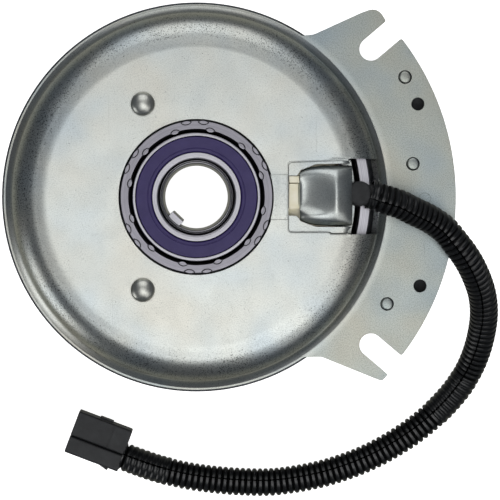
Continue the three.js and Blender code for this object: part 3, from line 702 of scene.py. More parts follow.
class Dresser:
    """Gives pieces their finish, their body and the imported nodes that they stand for."""

    def __init__(self) -> None:
        """Builds every finish once."""
        self.materials = {slot: finish.make() for slot, finish in FINISHES.items()}

    def finish(self, piece: bpy.types.Object, slot: Slot) -> None:
        """Puts one finish on the whole of a piece."""
        piece.data.materials.clear()
        piece.data.materials.append(self.materials[slot])

    def keep(self, slot: Slot, *nodes: str) -> None:
        """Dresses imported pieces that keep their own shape."""
        for node in nodes:
            self.finish(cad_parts[node], slot)
            LOG.info("kept %s in %s", node, slot.value)

    def show(self, piece: bpy.types.Object, slot: Slot, body: str, *nodes: str) -> None:
        """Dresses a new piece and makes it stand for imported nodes.

        Args:
            piece: the new piece.
            slot: its finish.
            body: the body that it moves with.
            nodes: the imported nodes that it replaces.
        """
        self.finish(piece, slot)
        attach(piece, body)
        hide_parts(*nodes)
        LOG.info("made %s with %d faces for %s", piece.name, len(piece.data.polygons), ", ".join(nodes))


# ---------------------------------------------------------------- studio


@dataclass
class Softbox:
    """One square or oblong soft light, aimed at the clutch.

    Attributes:
        name: the light's name.
        azimuth: which side it stands on, in degrees about Z from +X.
        tilt: how far it stands from straight above, in degrees.
        distance: how far from the clutch, in metres.
        size: its width and height, in metres.
        power: watts.
        mirrored: whether shiny surfaces show it; a polarised fill is not mirrored.
    """

    name: str
    azimuth: float
    tilt: float
    distance: float
    size: tuple[float, float]
    power: float
    mirrored: bool = True

    def build(self) -> None:
        """Hangs the light."""
        lamp = bpy.data.lights.new(self.name, "AREA")
        lamp.shape = "RECTANGLE"
        lamp.size, lamp.size_y = self.size
        lamp.energy = self.power
        holder = bpy.data.objects.new(self.name, lamp)
        holder.visible_glossy = self.mirrored
        bpy.context.scene.collection.objects.link(holder)
        aim = turn(self.azimuth + 90) @ Matrix.Rotation(math.radians(self.tilt), 4, "X")
        holder.matrix_world = aim @ Matrix.Translation((0, 0, self.distance))


@dataclass
class Studio:
    """A pale floor, soft lights and a camera looking straight down the crankshaft axis.

    Attributes:
        height: the camera's height, in metres.
        lens: its focal length, in millimetres.
        framing: how far its picture is shifted across and up.
        floor_size: the floor's width, in metres.
        glow: how strongly the floor shines.
        world: the surroundings' colour by height, from 0 below to 1 above.
        lights: the soft lights.
    """

    height: float = 1.025
    lens: float = 160.6
    framing: Point = (0.107, -0.106)
    floor_size: float = 6.0
    glow: float = 1.0
    world: tuple[tuple[float, str], ...] = ((0.2, "98988e"), (0.42, "50545a"))
    lights: list[Softbox] = field(default_factory=lambda: [
        Softbox("overhead_softbox", 262, 6, 2.0, (1.1, 0.95), 6.7),
        Softbox("back_softbox", 90, 49, 1.9, (1.7, 1.8), 14.0),
        Softbox("left_front_softbox", 214, 88, 1.9, (0.9, 1.2), 7.0),
        Softbox("right_front_softbox", 312, 44, 1.9, (0.9, 1.4), 4.4),
        Softbox("crown_softbox", 284, 24, 1.9, (1.3, 0.5), 3.6),
        Softbox("fill_softbox", 250, 18, 2.0, (1.0, 1.0), 4.6, False),
    ])

    def build(self) -> None:
        """Sets the camera, the lights, the floor and the picture's tone."""
        self.camera()
        self.floor()
        for light in self.lights:
            light.build()
        world = bpy.data.worlds.new("studio")
        world.use_nodes = True
        tree = world.node_tree
        height = add(tree, "SeparateXYZ", Vector=add(tree, "TexCoord").outputs["Generated"]).outputs["Z"]
        share = add(tree, "MapRange", {"From Min": -1.0}, Value=height).outputs[0]
        tree.links.new(ramp(tree, share, self.world), tree.nodes["Background"].inputs["Color"])
        bpy.context.scene.world = world
        bpy.context.scene.view_settings.view_transform = "Standard"
        LOG.info("studio with %d lights", len(self.lights))

    def camera(self) -> None:
        """Hangs the camera over the crankshaft axis; the picture's up is +Y."""
        data = bpy.data.cameras.new("camera")
        data.lens = self.lens
        data.shift_x, data.shift_y = self.framing
        holder = bpy.data.objects.new("camera", data)
        holder.location = (0, 0, self.height)
        bpy.context.scene.collection.objects.link(holder)
        bpy.context.scene.camera = holder

    def floor(self) -> None:
        """Lays the pale floor under the pulley."""
        Bench.clear()
        bpy.ops.mesh.primitive_plane_add(size=self.floor_size, location=(0, 0, CAD_BOX[0].z - 0.0002))
        floor = bpy.context.object
        floor.name = "studio_floor"
        bpy.ops.object.transform_apply(location=True)
        floor.data.materials.append(self.lit_paper())
        floor.visible_glossy = False

    def lit_paper(self) -> bpy.types.Material:
        """White translucent paper, lit from beneath until no shadow is left on it."""
        paper = Moulded(
            "lit_backdrop_paper", 0.0, 0.9, 0.2, base="f4f4f3", worn="fbfbfa", grain=2.0, depth=0.01)
        material = paper.make()
        tree = material.node_tree
        shader = next(node for node in tree.nodes if node.type == "BSDF_PRINCIPLED")
        shader.inputs["Emission Color"].default_value = linear("ffffff")
        shader.inputs["Emission Strength"].default_value = self.glow
        return material


# ---------------------------------------------------------------- loom and plug


# Centre line of the loom from the grommet over the flange and down to the bench, in millimetres.
LOOM_ROUTE: list[tuple[float, float, float]] = [
    (74.4, 1.2, 66.2), (76.6, 0.5, 66), (81, -1, 65.4), (87.5, -3.1, 63.5), (94.1, -6.2, 60),
    (101.3, -9.6, 56.6), (107.8, -14, 54), (113.2, -20.2, 51.9), (118.5, -27, 48.4),
    (123, -34.6, 43), (126.6, -43, 36),
    (128.4, -51.9, 28.5), (128.3, -60.9, 21.4), (126.9, -69.6, 15.4), (124.2, -77.9, 10.9),
    (120, -85.7, 8.1), (114.6, -92.7, 6.9), (107.9, -99.5, 6.6), (99.6, -106.3, 6.6),
    (89.7, -112.9, 6.6), (80.1, -118.1, 6.6), (70.2, -122.3, 6.6), (58.2, -126.1, 6.6),
    (46.2, -128.6, 6.6), (34, -130.1, 6.6), (21, -130, 6.6), (8, -129, 6.6), (-5, -127.1, 6.6),
    (-17, -124.2, 6.6), (-27.1, -120.8, 6.6), (-34.0, -118.2, 6.6),
]


@dataclass
class WireLoom:
    """The split corrugated loom, swept along its route.

    Attributes:
        radius: radius over the ridges, in millimetres.
        depth: how deep the corrugations are.
        pitch: one ridge to the next.
        wall: thickness of the plastic.
        rings: rings of points to one corrugation.
        sides: points round the loom.
        slit: the width of the lengthwise split, in degrees.
        slit_angle: where the split runs, in degrees from the loom's side.
        sleeves: where a shrunk sleeve flattens the ridges, from and to, in millimetres along the loom.
    """

    radius: float = 6.45
    depth: float = 1.15
    pitch: float = 2.7
    wall: float = 0.5
    rings: int = 8
    sides: int = 40
    slit: float = 7.0
    slit_angle: float = 75.0
    sleeves: tuple[Point, ...] = ((-1, 3), (128, 150), (280, 300))

    def centre_line(self, count: int) -> np.ndarray:
        """Points spaced evenly along the route.

        Args:
            count: how many points.

        Returns:
            The points, in millimetres, one row each.
        """
        route = np.array(LOOM_ROUTE)
        padded = np.vstack([2 * route[0] - route[1], route, 2 * route[-1] - route[-2]])
        t = np.linspace(0, 1, 8, endpoint=False)[:, None]
        fine = []
        for a, b, c, d in zip(padded, padded[1:], padded[2:], padded[3:]):
            cubic = (3 * b - a - 3 * c + d) * t ** 3 + (2 * a - 5 * b + 4 * c - d) * t ** 2
            cubic = cubic + (c - a) * t + 2 * b
            fine.append(cubic / 2)
        fine = np.vstack([*fine, route[-1:]])
        length = np.concatenate([[0], np.cumsum(np.linalg.norm(np.diff(fine, axis=0), axis=1))])
        wanted = np.linspace(0, length[-1], count)
        return np.column_stack([np.interp(wanted, length, fine[:, axis]) for axis in range(3)])

    def length(self) -> float:
        """The route's length, in millimetres."""
        return float(np.linalg.norm(np.diff(self.centre_line(400), axis=0), axis=1).sum())

    def skin(self, centres: np.ndarray) -> tuple[np.ndarray, list[tuple[int, int, int, int]]]:
        """The corrugated skin, open along the slit.

        Args:
            centres: the centre line, in millimetres.

        Returns:
            The skin's points in metres and its faces.
        """
        along = np.gradient(centres, axis=0)
        along /= np.linalg.norm(along, axis=1)[:, None]
        side = np.cross(along, UP)
        side /= np.linalg.norm(side, axis=1)[:, None]
        lift = np.cross(side, along)
        ridge = np.clip(0.55 + 1.1 * np.cos(np.arange(len(centres)) / self.rings * math.tau), 0, 1)
        reach = np.arange(len(centres)) * self.pitch / self.rings
        covered = np.zeros(len(centres))
        for start, end in self.sleeves:
            covered[(reach > start) & (reach < end)] = 1
        valley = self.depth * (1 - ridge) * (1 - 0.6 * covered)
        radius = self.radius - self.wall - valley - 0.12 * (1 - covered)
        half = np.radians(self.slit / 2) * (1.7 - ridge)
        share = np.linspace(0, 1, self.sides)
        angle = half[:, None] + share * (math.tau - 2 * half[:, None]) + math.radians(self.slit_angle)
        spokes = np.cos(angle)[:, :, None] * side[:, None] + np.sin(angle)[:, :, None] * lift[:, None]
        points = centres[:, None] + radius[:, None, None] * spokes
        faces = []
        for ring in range(len(centres) - 1):
            for step in range(self.sides - 1):
                corner = ring * self.sides + step
                faces.append((corner, corner + self.sides, corner + self.sides + 1, corner + 1))
        return points.reshape(-1, 3) * MM, faces

    def build(self, dresser: Dresser, fittings: Sequence[bpy.types.Object]) -> None:
        """Args:
            dresser: what gives it its finish.
            fittings: the separate pieces on it; not used.
        """
        length = self.length()
        count = round(length / self.pitch) * self.rings + 1
        points, faces = self.skin(self.centre_line(count))
        mesh = bpy.data.meshes.new("corrugated_loom")
        mesh.from_pydata(points.tolist(), [], faces)
        loom = bpy.data.objects.new("corrugated_loom", mesh)
        bpy.context.scene.collection.objects.link(loom)
        Bench.pick(loom)
        bpy.ops.object.mode_set(mode="EDIT")
        bpy.ops.mesh.select_all(action="SELECT")
        bpy.ops.mesh.normals_make_consistent(inside=False)
        bpy.ops.object.mode_set(mode="OBJECT")
        Bench.apply(loom, "SOLIDIFY", thickness=self.wall * MM, offset=1.0)
        Bench.shade(loom, Shade.TURNED)
        dresser.show(loom, Slot.LOOM, "field", "wire_loom")
        route = [[x * MM, y * MM, z * MM] for x, y, z in self.centre_line(120)]


@dataclass
class Connector:
    """The two-way plug: a socket shell and its locking cover, side by side.

    Attributes:
        centre: its middle on the bench, in millimetres.
        angle: how it lies, in degrees.
        half: half its length.
        edge: how far its edges are rounded.
        shell: where the shell lies across the plug.
        cover: where the locking cover lies across the plug.
        rows: the heights of its two ways.
    """

    centre: Point = (-44.6, -111.05)
    angle: float = -20.7
    half: float = 12.9
    edge: float = 0.9
    shell: Point = (-1.8, 9.9)
    cover: Point = (-9.9, -2.1)
    rows: Point = (3.4, 8.6)

    def bar(self, name: str, across: Point, height: float) -> bpy.types.Object:
        """A long block with round edges, lying along X, before it is placed."""
        low, high = across
        corners = [(low, 0.1), (high, 0.1), (high, height), (low, height)]
        outline = rounded([(*corner, self.edge) for corner in corners])
        bar = Bench.lengthwise(name, outline, -self.half, self.half)
        Bench.edges(bar, 0.5)
        return bar

    def laid(self, piece: bpy.types.Object) -> bpy.types.Object:
        """Puts a piece of the plug where it lies on the bench."""
        return Bench.place(piece, shift(*self.centre, 0) @ turn(self.angle))

    def box(self, x: Point, y: Point, z: Point, fillet: float = 0.3) -> bpy.types.Object:
        """A block between two corners, its upright edges rounded."""
        corners = [(x[0], y[0]), (x[1], y[0]), (x[1], y[1]), (x[0], y[1])]
        return Bench.plate("block", rounded([(*c, fillet) for c in corners]), *z)

    def build(self, dresser: Dresser) -> list[bpy.types.Object]:
        """Makes the plug.

        Args:
            dresser: what gives it its finish.

        Returns:
            Its pieces.
        """
        height = spans("connector_housing")[1].z
        shell = self.bar("plug_shell", self.shell, height)
        rail = self.box((-3.0, 3.4), (9.0, 10.7), (3, 9))
        Bench.combine(shell, rail, "UNION")
        for level in self.rows:
            mouth = self.box((-self.half - 2, 4.1), (0.1, 8.1), (level - 1.5, level + 1.5))
            Bench.combine(shell, mouth)
        groove = self.box((4.0, 4.8), (-1.0, 9.0), (height - 0.5, height + 1))
        Bench.combine(shell, groove)
        cover = self.bar("plug_lock", self.cover, height)
        ramp_outline = rounded([(3, -9, 0), (3, -9.9, 0), (8.2, -11.3, 0.2), (8.6, -9, 0)])
        Bench.combine(cover, Bench.plate("latch", ramp_outline, 3, 9), "UNION")
        for piece, nodes in ((shell, "connector_housing"), (cover, "connector_lock")):
            Bench.shade(self.laid(piece), Shade.STAMPED)
            dresser.show(piece, Slot.PLUG, "field", nodes)
        pieces = [shell, cover]
        for number, level in enumerate(self.rows, 1):
            blade = self.box((-11.5, 3.5), (0.9, 7.3), (level - 0.45, level + 0.45))
            Bench.edges(blade, 0.2)
            Bench.shade(self.laid(blade), Shade.STAMPED)
            blade.name = f"plug_blade_{number}"
            dresser.show(blade, Slot.TIN, "field", f"connector_terminal_{number}")
            pieces.append(blade)
        return pieces


# ---------------------------------------------------------------- field


@dataclass
class FieldHousing:
    """The pressed steel housing: a dished drum with a lead window and a fan-shaped flange.

    Attributes:
        hole: radius of the hole for the bearing carrier, in millimetres.
        sheet: thickness of the steel.
        crown: radius where the flat top ends.
        shoulder: radius of the bend's centre and the bend itself.
        drop: how far the crown has fallen where that bend begins.
        wall: radius outside the wall.
        flare: the bend between wall and flange.
        lip: radius of the flange away from the fan.
        fan: radius of the fan.
        slots: how far round the fan its two slots lie, in degrees.
        slot: half the width of a slot.
        centre: radius of the centre of a slot's round end.
        bolt_hole: radius of the bolt holes.
        sight_hole: radius of the sight holes.
        sights: the angle and radius of each sight hole's place.
        facets: how many facets go round the drum.
    """

    hole: float = 32.9
    sheet: float = 2.5
    crown: float = 63.5
    shoulder: Point = (67.6, 12)
    drop: float = 0.55
    wall: float = 79.6
    flare: float = 8.0
    lip: float = 84.8
    fan: float = 114.1
    slots: float = 40.3
    slot: float = 5.05
    centre: float = 100.6
    bolt_hole: float = 3.0
    sight_hole: float = 2.9
    sights: tuple[Point, ...] = ((22.8, 105.6), (-21.7, 105.8))
    facets: int = 240

    def profile(self, top: float, flange: float) -> list[Point]:
        """The wall's section from the hole out to the fan's edge.

        Args:
            top: height of the flat top.
            flange: height of the flange's upper face.

        Returns:
            The section's points, in millimetres.
        """
        start, bend = self.shoulder
        turn_height = top - self.drop - bend
        foot = (self.wall + self.flare, flange + self.flare)
        far = self.fan + 2
        outside = [(self.hole + 0.4, top), (self.crown, top), (self.crown + 1.4, top - 0.06)]
        outside += [(self.crown + 2.8, top - 0.22), (self.crown + 4.3, top - 0.45)]
        outside += arc((start, turn_height), bend, 84, 0, 22)
        outside += arc(foot, self.flare, 180, 270, 10) + [(far, flange)]
        inside = [(far, flange - self.sheet)] + arc(foot, self.flare + self.sheet, 270, 180, 10)
        inside += arc((start, turn_height), bend - self.sheet, 0, 90, 12)
        inside += [(self.crown, top - self.sheet), (self.hole, top - self.sheet), (self.hole, top - 0.4)]
        return outside + inside

    def blank(self) -> list[Point]:
        """The outline that the flange is trimmed to: a disc with the slotted fan and its two fingers."""
        edge = math.degrees(math.asin(self.slot / self.fan))
        upper_slot = self.slotted(self.slots, 1, -0.3)
        lower_slot = self.slotted(-self.slots, -1, 0.9)[::-1]
        upper = [(79.6, 83.6, 5.0), (72.6, 81.1, 6), (51.6, 71.5, 5), (46.6, 71, 0)]
        lower = [(47.5, -70.4, 0), (55, -70.3, 4), (81.5, -81.0, 1.8)]
        start, end = (math.degrees(math.atan2(y, x)) for x, y, _ in (upper[-1], lower[0]))
        fan = arc((0, 0), self.fan, edge + 0.8 - self.slots, self.slots - edge - 0.8, 60)
        disc = arc((0, 0), self.lip, start, end + 360, 120)
        flat = [[(*point, 0.0) for point in bend] for bend in (fan, disc)]
        return rounded(flat[0] + upper_slot + upper + flat[1] + lower + lower_slot)

    def slotted(self, degrees: float, side: int, finger: float) -> list[Corner]:
        """The corners of an open-ended slot, from the fan's edge round its end and out to the finger.

        Args:
            degrees: where the slot lies.
            side: 1 where the finger lies on the slot's left, -1 on its right.
            finger: how far the finger's corner reaches past the fan's edge, in millimetres.

        Returns:
            The corners.
        """
        deep = arc((self.centre, 0), self.slot, 270, 90, 16)
        reach = math.sqrt(self.fan ** 2 - self.slot ** 2)
        local = [(reach, -self.slot, 0.9), *[(x, y, 0.0) for x, y in deep], (reach + finger, self.slot, 0.9)]
        spin = Matrix.Rotation(math.radians(degrees), 2)
        return [(*(spin @ Vector((x, side * y))), fillet) for x, y, fillet in local]

    def trim(self, flange: float, top: float) -> bpy.types.Object:
        """The tool that the pressing is trimmed with, its edge rolled over as the press leaves it."""
        tool = Bench.plate("trim", self.blank(), flange - 20, flange)
        Bench.edges(tool, 0.7, 50, 3)
        drum = Bench.rod("drum", self.lip - 0.9, flange - 15, top + 20, facets=self.facets)
        Bench.combine(tool, drum, "UNION")
        return tool

    def window(self) -> list[Point]:
        """The outline of the lead window, a little wider past its step."""
        return rounded([
            (39, -15.2, 1.6), (56.4, -15.2, 0.3), (57.2, -16, 0.3), (84, -16, 0), (84, 16.4, 0),
            (64.5, 16.4, 0), (63.2, 16.7, 0), (58.5, 16.7, 0.5), (56.6, 15.7, 0.4), (39, 15.0, 1.6),
        ])

    def build(self, dresser: Dresser) -> None:
        """Makes the housing and its two rivets."""
        top = spans("bearing_carrier")[1].z - 0.5
        flange = spans("brake_bolt_1")[1].z - 0.5
        shell = Bench.turned("pressed_housing", self.profile(top, flange), self.facets)
        Bench.combine(shell, self.trim(flange, top), "INTERSECT")
        strap = [(30.5, top - 2), (39.2, top - 2), (39.2, top + 0.5), (37.6, top + 0.66), (36.5, top + 0.5)]
        strap += [(34.8, top + 0.45), (33.4, top + 0.66), (32, top + 0.5), (30.5, top + 0.3)]
        bridge = Bench.across("bridge", strap, -9.7, 9.7)
        Bench.edges(bridge, 0.45)
        Bench.combine(bridge, Bench.rod("bore", self.hole + 0.03, top - 5, top + 5, facets=120))
        Bench.combine(shell, bridge, "UNION")
        Bench.combine(shell, Bench.plate("window", self.window(), 49, top + 6))
        ledge = Bench.plate("ledge", self.window(), top - 0.4, top + 6)
        wider = shift(61, 0, 0) @ Matrix.Diagonal((1.014, 1.019, 1, 1)) @ shift(-61, 0, 0)
        Bench.combine(shell, Bench.place(ledge, wider))
        slope = Bench.across("slope", [(73.5, 46.0), (80.2, 49.3), (73.5, 49.3)], -16, 16.4)
        Bench.combine(shell, slope)
        holes = [(place, self.bolt_hole) for place in BOLTS]
        holes += [(place, self.sight_hole) for place in self.sights]
        for (angle, reach), radius in holes:
            Bench.combine(shell, Bench.rod("hole", radius, flange - 8, flange + 8, polar(reach, angle)))
        Bench.combine(shell, Bench.rod("blind_hole", 2.65, flange - 0.35, flange + 8, polar(100.5, -0.4)))
        Bench.shade(shell, Shade.TURNED)
        dresser.show(shell, Slot.ZINC, "field", "field_housing")
        self.rivets(dresser)

    def rivets(self, dresser: Dresser) -> None:
        """Makes the two domed rivets that hold the core."""
        low, high = spans("housing_rivet_1")
        seat, shank, head = high.z - 2.4, 2.6, 5.1
        dome = [(head * x, seat + 3.3 * z) for x, z in arc((0, 0), 1, 0, 90, 14)]
        profile = [(0, low.z), (shank, low.z), (shank, seat)]
        rivet = Bench.turned("domed_rivet", profile + dome, 48)
        Bench.shade(rivet, Shade.STAMPED)
        for number in (1, 2):
            low, high = spans(f"housing_rivet_{number}")
            middle = (low + high) / 2
            twin = Bench.copied(rivet, f"core_rivet_{number}", shift(middle.x, middle.y, 0))
            dresser.show(twin, Slot.ZINC, "field", f"housing_rivet_{number}")
        bpy.data.objects.remove(rivet)


@dataclass
class BearingCarrier:
    """The ring that holds the field bearing, staked to the race inside and to the housing outside.

    Attributes:
        inner_marks: number, first angle, radius, length and width of the marks over the race.
        outer_marks: the same for the pairs over the housing.
        pair: half the angle between a pair, in degrees.
        outline: width of the groove round a mark, in millimetres.
    """

    inner_marks: tuple[int, float, float, float, float] = (12, 18.4, 28.95, 3.7, 1.7)
    outer_marks: tuple[int, float, float, float, float] = (6, 31.3, 31.95, 4.1, 1.5)
    pair: float = 6.6
    outline: float = 0.42

    def leaf(self, length: float, width: float) -> list[Point]:
        """The outline of a staking mark: two shallow arcs that meet in points."""
        half = length / 2
        bend = (half ** 2 + (width / 2) ** 2) / width
        sweep = math.degrees(math.asin(half / bend))
        right = arc((width / 2 - bend, 0), bend, -sweep, sweep, 6)
        left = [(-x, -y) for x, y in right]
        return right[:-1] + left[:-1]

    def marks(self, grow: float, bottom: float, top: float) -> bpy.types.Object:
        """All the staking marks as one tool.

        Args:
            grow: how much bigger than the mark itself, in millimetres.
            bottom: lowest height.
            top: highest height.

        Returns:
            The tool.
        """
        places = []
        count, start, radius, length, width = self.inner_marks
        places += [(start + 360 * i / count, radius, length, width) for i in range(count)]
        count, start, radius, length, width = self.outer_marks
        for index in range(count):
            middle = start + 360 * index / count
            places += [(middle + side * self.pair, radius, length, width) for side in (-1, 1)]
        tools = []
        for angle, radius, length, width in places:
            outline = self.leaf(length + 2 * grow, width + 2 * grow)
            tool = Bench.plate("mark", outline, bottom, top)
            tools.append(Bench.place(tool, turn(angle) @ shift(radius, 0, 0)))
        return Bench.joined(tools)

    def build(self, dresser: Dresser) -> None:
        """Makes the carrier."""
        low, high = spans("bearing_carrier")
        top = high.z
        profile = rounded([
            (25, low.z, 0.4), (34.5, low.z, 0.6), (34.5, 67.9, 0.4), (32.5, 67.9, 0), (32.5, top, 0.35),
            (29.05, top, 0.12), (28.9, top - 1.2, 0), (27.72, top - 3.6, 0), (27.72, 50.7, 0),
            (25, 50.7, 0.2),
        ])
        carrier = Bench.turned("bearing_carrier_ring", profile, 160)
        Bench.combine(carrier, self.marks(self.outline, top - 0.9, top + 1))
        stakes = self.marks(0.0, top - 2.4, top - 0.1)
        Bench.edges(stakes, 0.15)
        Bench.combine(carrier, stakes, "UNION")
        Bench.shade(carrier, Shade.TURNED)
        dresser.show(carrier, Slot.STEEL, "field", "bearing_carrier")


@dataclass
class BallBearing:
    """A sealed ball bearing: two races, two seals and the balls between them.

    Attributes:
        name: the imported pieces' first word.
        bore: inner radius, in millimetres.
        inner: radius outside the inner race.
        outer: radius inside the outer race.
        outside: outer radius.
        chamfer: how far the bore's edge is rounded.
        seal: the seals' finish on the upper side.
        bodies: the bodies of the outer race, the inner race and the balls.
        rows: how many rows of balls it has.
    """

    name: str
    bore: float
    inner: float
    outer: float
    outside: float
    chamfer: float
    seal: Slot
    bodies: tuple[str, str, str]
    rows: int

    def race(self, side: str, inner: float, outer: float, bend: float, body: str, dresser: Dresser) -> None:
        """Makes one race with its edges rounded."""
        node = f"{self.name}_{side}_race"
        low, high = spans(node)
        inside, outside = (bend, 0.3) if side == "inner" else (0.3, bend)
        corners = [(inner, low.z, inside), (outer, low.z, outside)]
        corners += [(outer, high.z, outside), (inner, high.z, inside)]
        race = Bench.turned(f"{node}_ring", rounded(corners, 5), 128)
        Bench.shade(race, Shade.STAMPED)
        dresser.show(race, Slot.BEARING, body, node)

    def shield(self, place: str, facing: int, slot: Slot, dresser: Dresser) -> None:
        """Makes one seal, its face dished between a rim and a thin lip."""
        node = f"{self.name}_seal_{place}"
        low, high = spans(node)
        face, back = (high.z, low.z) if facing > 0 else (low.z, high.z)
        inner, outer = self.inner + 0.12, self.outer - 0.12
        steps = [(outer, -0.35), (outer - 0.25, -0.05), (outer - 0.5, 0), (inner + 1.9, 0)]
        steps += [(inner + 1.75, -0.22), (inner + 1.55, -0.22), (inner + 1.4, -0.02)]
        steps += [(inner + 0.5, -0.1), (inner, -0.5)]
        shown = [(radius, face + facing * lift) for radius, lift in steps]
        profile = [(outer, back), *shown, (inner, back)]
        shield = Bench.turned(f"{node}_ring", profile, 128)
        Bench.shade(shield, Shade.TURNED)
        dresser.show(shield, slot, self.bodies[0], node)

    def build(self, dresser: Dresser) -> None:
        """Makes the bearing's pieces and dresses its balls."""
        self.race("outer", self.outer, self.outside, 0.5, self.bodies[0], dresser)
        self.race("inner", self.bore, self.inner, self.chamfer, self.bodies[1], dresser)
        self.shield("upper", 1, self.seal, dresser)
        self.shield("lower", -1, Slot.RUBBER, dresser)
        dresser.keep(Slot.BEARING, *[f"{self.name}_balls_{row}" for row in range(1, self.rows + 1)])


@dataclass
class FieldCore:
    """What shows in the lead window: the core's face, its stamped hood, the bobbin and the grommet.

    Attributes:
        columns: where the hood's cage has its columns along X, in millimetres.
        rows: where it has its rows along Y, each with the heights of its points.
        pinch: how much each column draws its rows together.
        gauge: thickness of the hood's sheet.
        face: height of the core's upper face.
    """

    columns: tuple[float, ...] = (44.2, 45.1, 47.5, 51.5, 55.5, 58.4, 59.6, 60.9, 64.3, 66.6)
    rows: tuple[tuple[float, tuple[float, ...]], ...] = (
        (-12.3, (70.5, 70.6, 70.6, 70.6, 70.6, 70.6, 70.6, 70.6, 70.4, 70.0)),
        (-11.7, (71.3, 71.8, 72.2, 72.4, 72.5, 72.5, 72.5, 72.3, 71.8, 70.8)),
        (-10.2, (72.0, 72.9, 73.8, 74.2, 74.4, 74.5, 74.5, 74.2, 73.0, 71.2)),
        (-7.6, (72.0, 72.9, 74.4, 74.8, 75.0, 75.2, 75.3, 75.0, 73.7, 71.6)),
        (-5.6, (71.9, 71.4, 71.8, 73.2, 74.5, 75.5, 75.9, 75.6, 74.0, 71.7)),
        (2.0, (71.9, 71.3, 71.5, 72.7, 74.1, 75.4, 76.0, 75.6, 74.0, 71.7)),
        (7.6, (71.9, 71.3, 71.6, 72.9, 74.5, 75.5, 75.7, 75.4, 73.9, 71.7)),
        (9.8, (71.9, 72.0, 72.6, 73.7, 74.6, 74.9, 74.9, 74.6, 73.3, 71.4)),
        (12.0, (71.6, 71.8, 72.2, 72.9, 73.5, 73.8, 73.8, 73.5, 72.5, 71.0)),
        (13.1, (71.1, 71.2, 71.4, 71.6, 71.9, 71.9, 71.9, 71.8, 71.4, 70.6)),
        (13.5, (70.5, 70.6, 70.6, 70.6, 70.6, 70.6, 70.6, 70.6, 70.4, 70.0)),
    )
    pinch: tuple[float, ...] = (0.8, 0.84, 0.92, 0.98, 1, 1, 1, 1, 1, 1)
    gauge: float = 1.4
    face: float = 71.2

    def hood(self) -> bpy.types.Object:
        """Shapes the stamped hood from a grid and gives its sheet a thickness."""
        Bench.clear()
        bpy.ops.mesh.primitive_grid_add(
            x_subdivisions=len(self.columns) - 1, y_subdivisions=len(self.rows) - 1, size=MM)
        hood = bpy.context.object
        hood.name = "hood"
        places = [(x, y * pinch, z) for y, heights in self.rows
                  for x, pinch, z in zip(self.columns, self.pinch, heights)]
        starts = [vertex.co.copy() for vertex in hood.data.vertices]
        for index, place in enumerate(places):
            bpy.ops.object.mode_set(mode="EDIT")
            bpy.ops.mesh.select_all(action="DESELECT")
            bpy.ops.object.mode_set(mode="OBJECT")
            hood.data.vertices[index].select = True
            bpy.ops.object.mode_set(mode="EDIT")
            bpy.ops.transform.translate(value=Vector(place) * MM - starts[index])
        bpy.ops.object.mode_set(mode="OBJECT")
        Bench.apply(hood, "SUBSURF", levels=3, render_levels=3)
        Bench.apply(hood, "SOLIDIFY", thickness=self.gauge * MM, offset=-1.0)
        Bench.edges(hood, 0.2, 60)
        return hood

    def core(self, top: float) -> bpy.types.Object:
        """Turns the core's shell and cuts it round the hood and the bobbin's tab."""
        profile = rounded([
            (64.6, 50, 0.5), (68.6, 50, 0.5), (68.6, top, 4.5), (32.9, top, 0.3), (32.9, top - 3, 0.3),
            (64.6, top - 3, 2),
        ], 6)
        core = Bench.turned("core", profile, 160)
        window = rounded([
            (44.0, -10.2, 1.2), (51.0, -12.8, 4), (66.3, -12.8, 0), (63.9, -15.4, 0), (75, -17, 0),
            (75, 17, 0), (64.6, 15.6, 0), (66.0, 14.4, 0), (51.0, 14.1, 4), (44.0, 11.2, 1.2),
        ])
        Bench.combine(core, Bench.plate("hood_hole", window, top - 12, top + 4))
        slot = rounded([(39.3, -8.0, 0.4), (42.6, -8.0, 0.3), (45.4, -10.8, 0.3), (45.4, 12.6, 0.3),
                        (43.0, 9.2, 0.3), (39.3, 9.2, 0.4)])
        Bench.combine(core, Bench.plate("tab_slot", slot, top - 5, top + 4))
        border = rounded([(38.2, -15.9, 1.6), (70, -15.9, 0), (70, 17.2, 0), (38.2, 16.0, 1.6)])
        lining = rounded([
            (39.5, -14.8, 1.2), (57.0, -14.8, 0.3), (57.8, -15.4, 0.3), (72, -15.4, 0), (72, 15.7, 0),
            (56.4, 15.2, 0.3), (39.5, 14.5, 1.2),
        ])
        seam = Bench.plate("seam", border, top - 0.9, top + 2)
        Bench.combine(seam, Bench.plate("lining", lining, top - 2, top + 3))
        Bench.combine(core, seam)
        Bench.edges(core, 0.15, 60)
        return core

    def bobbin(self, dresser: Dresser) -> None:
        """Makes the nylon bobbin with the two steps of its tab."""
        top = spans("coil_bobbin")[1].z
        profile = rounded([
            (35.2, 51, 0.3), (63.5, 51, 0.4), (63.5, 52.5, 0.4), (36.8, 52.5, 0.5), (36.8, 65.7, 0.5),
            (61, 65.7, 0.4), (61, 67.2, 0.4), (35.2, 67.2, 0.3),
        ])
        bobbin = Bench.turned("moulded_bobbin", profile, 128)
        for low, high, height in ((-5.1, 5.7, top - 0.3), (6.1, 8.9, top + 0.1)):
            outline = rounded([(39.6, low, 0.3), (43.9, low, 0.3), (43.9, high, 0.3), (39.6, high, 0.3)])
            tab = Bench.plate("tab", outline, 66.5, height)
            Bench.edges(tab, 0.2)
            Bench.combine(bobbin, tab, "UNION")
        Bench.shade(bobbin, Shade.STAMPED)
        dresser.show(bobbin, Slot.NYLON, "field", "coil_bobbin")

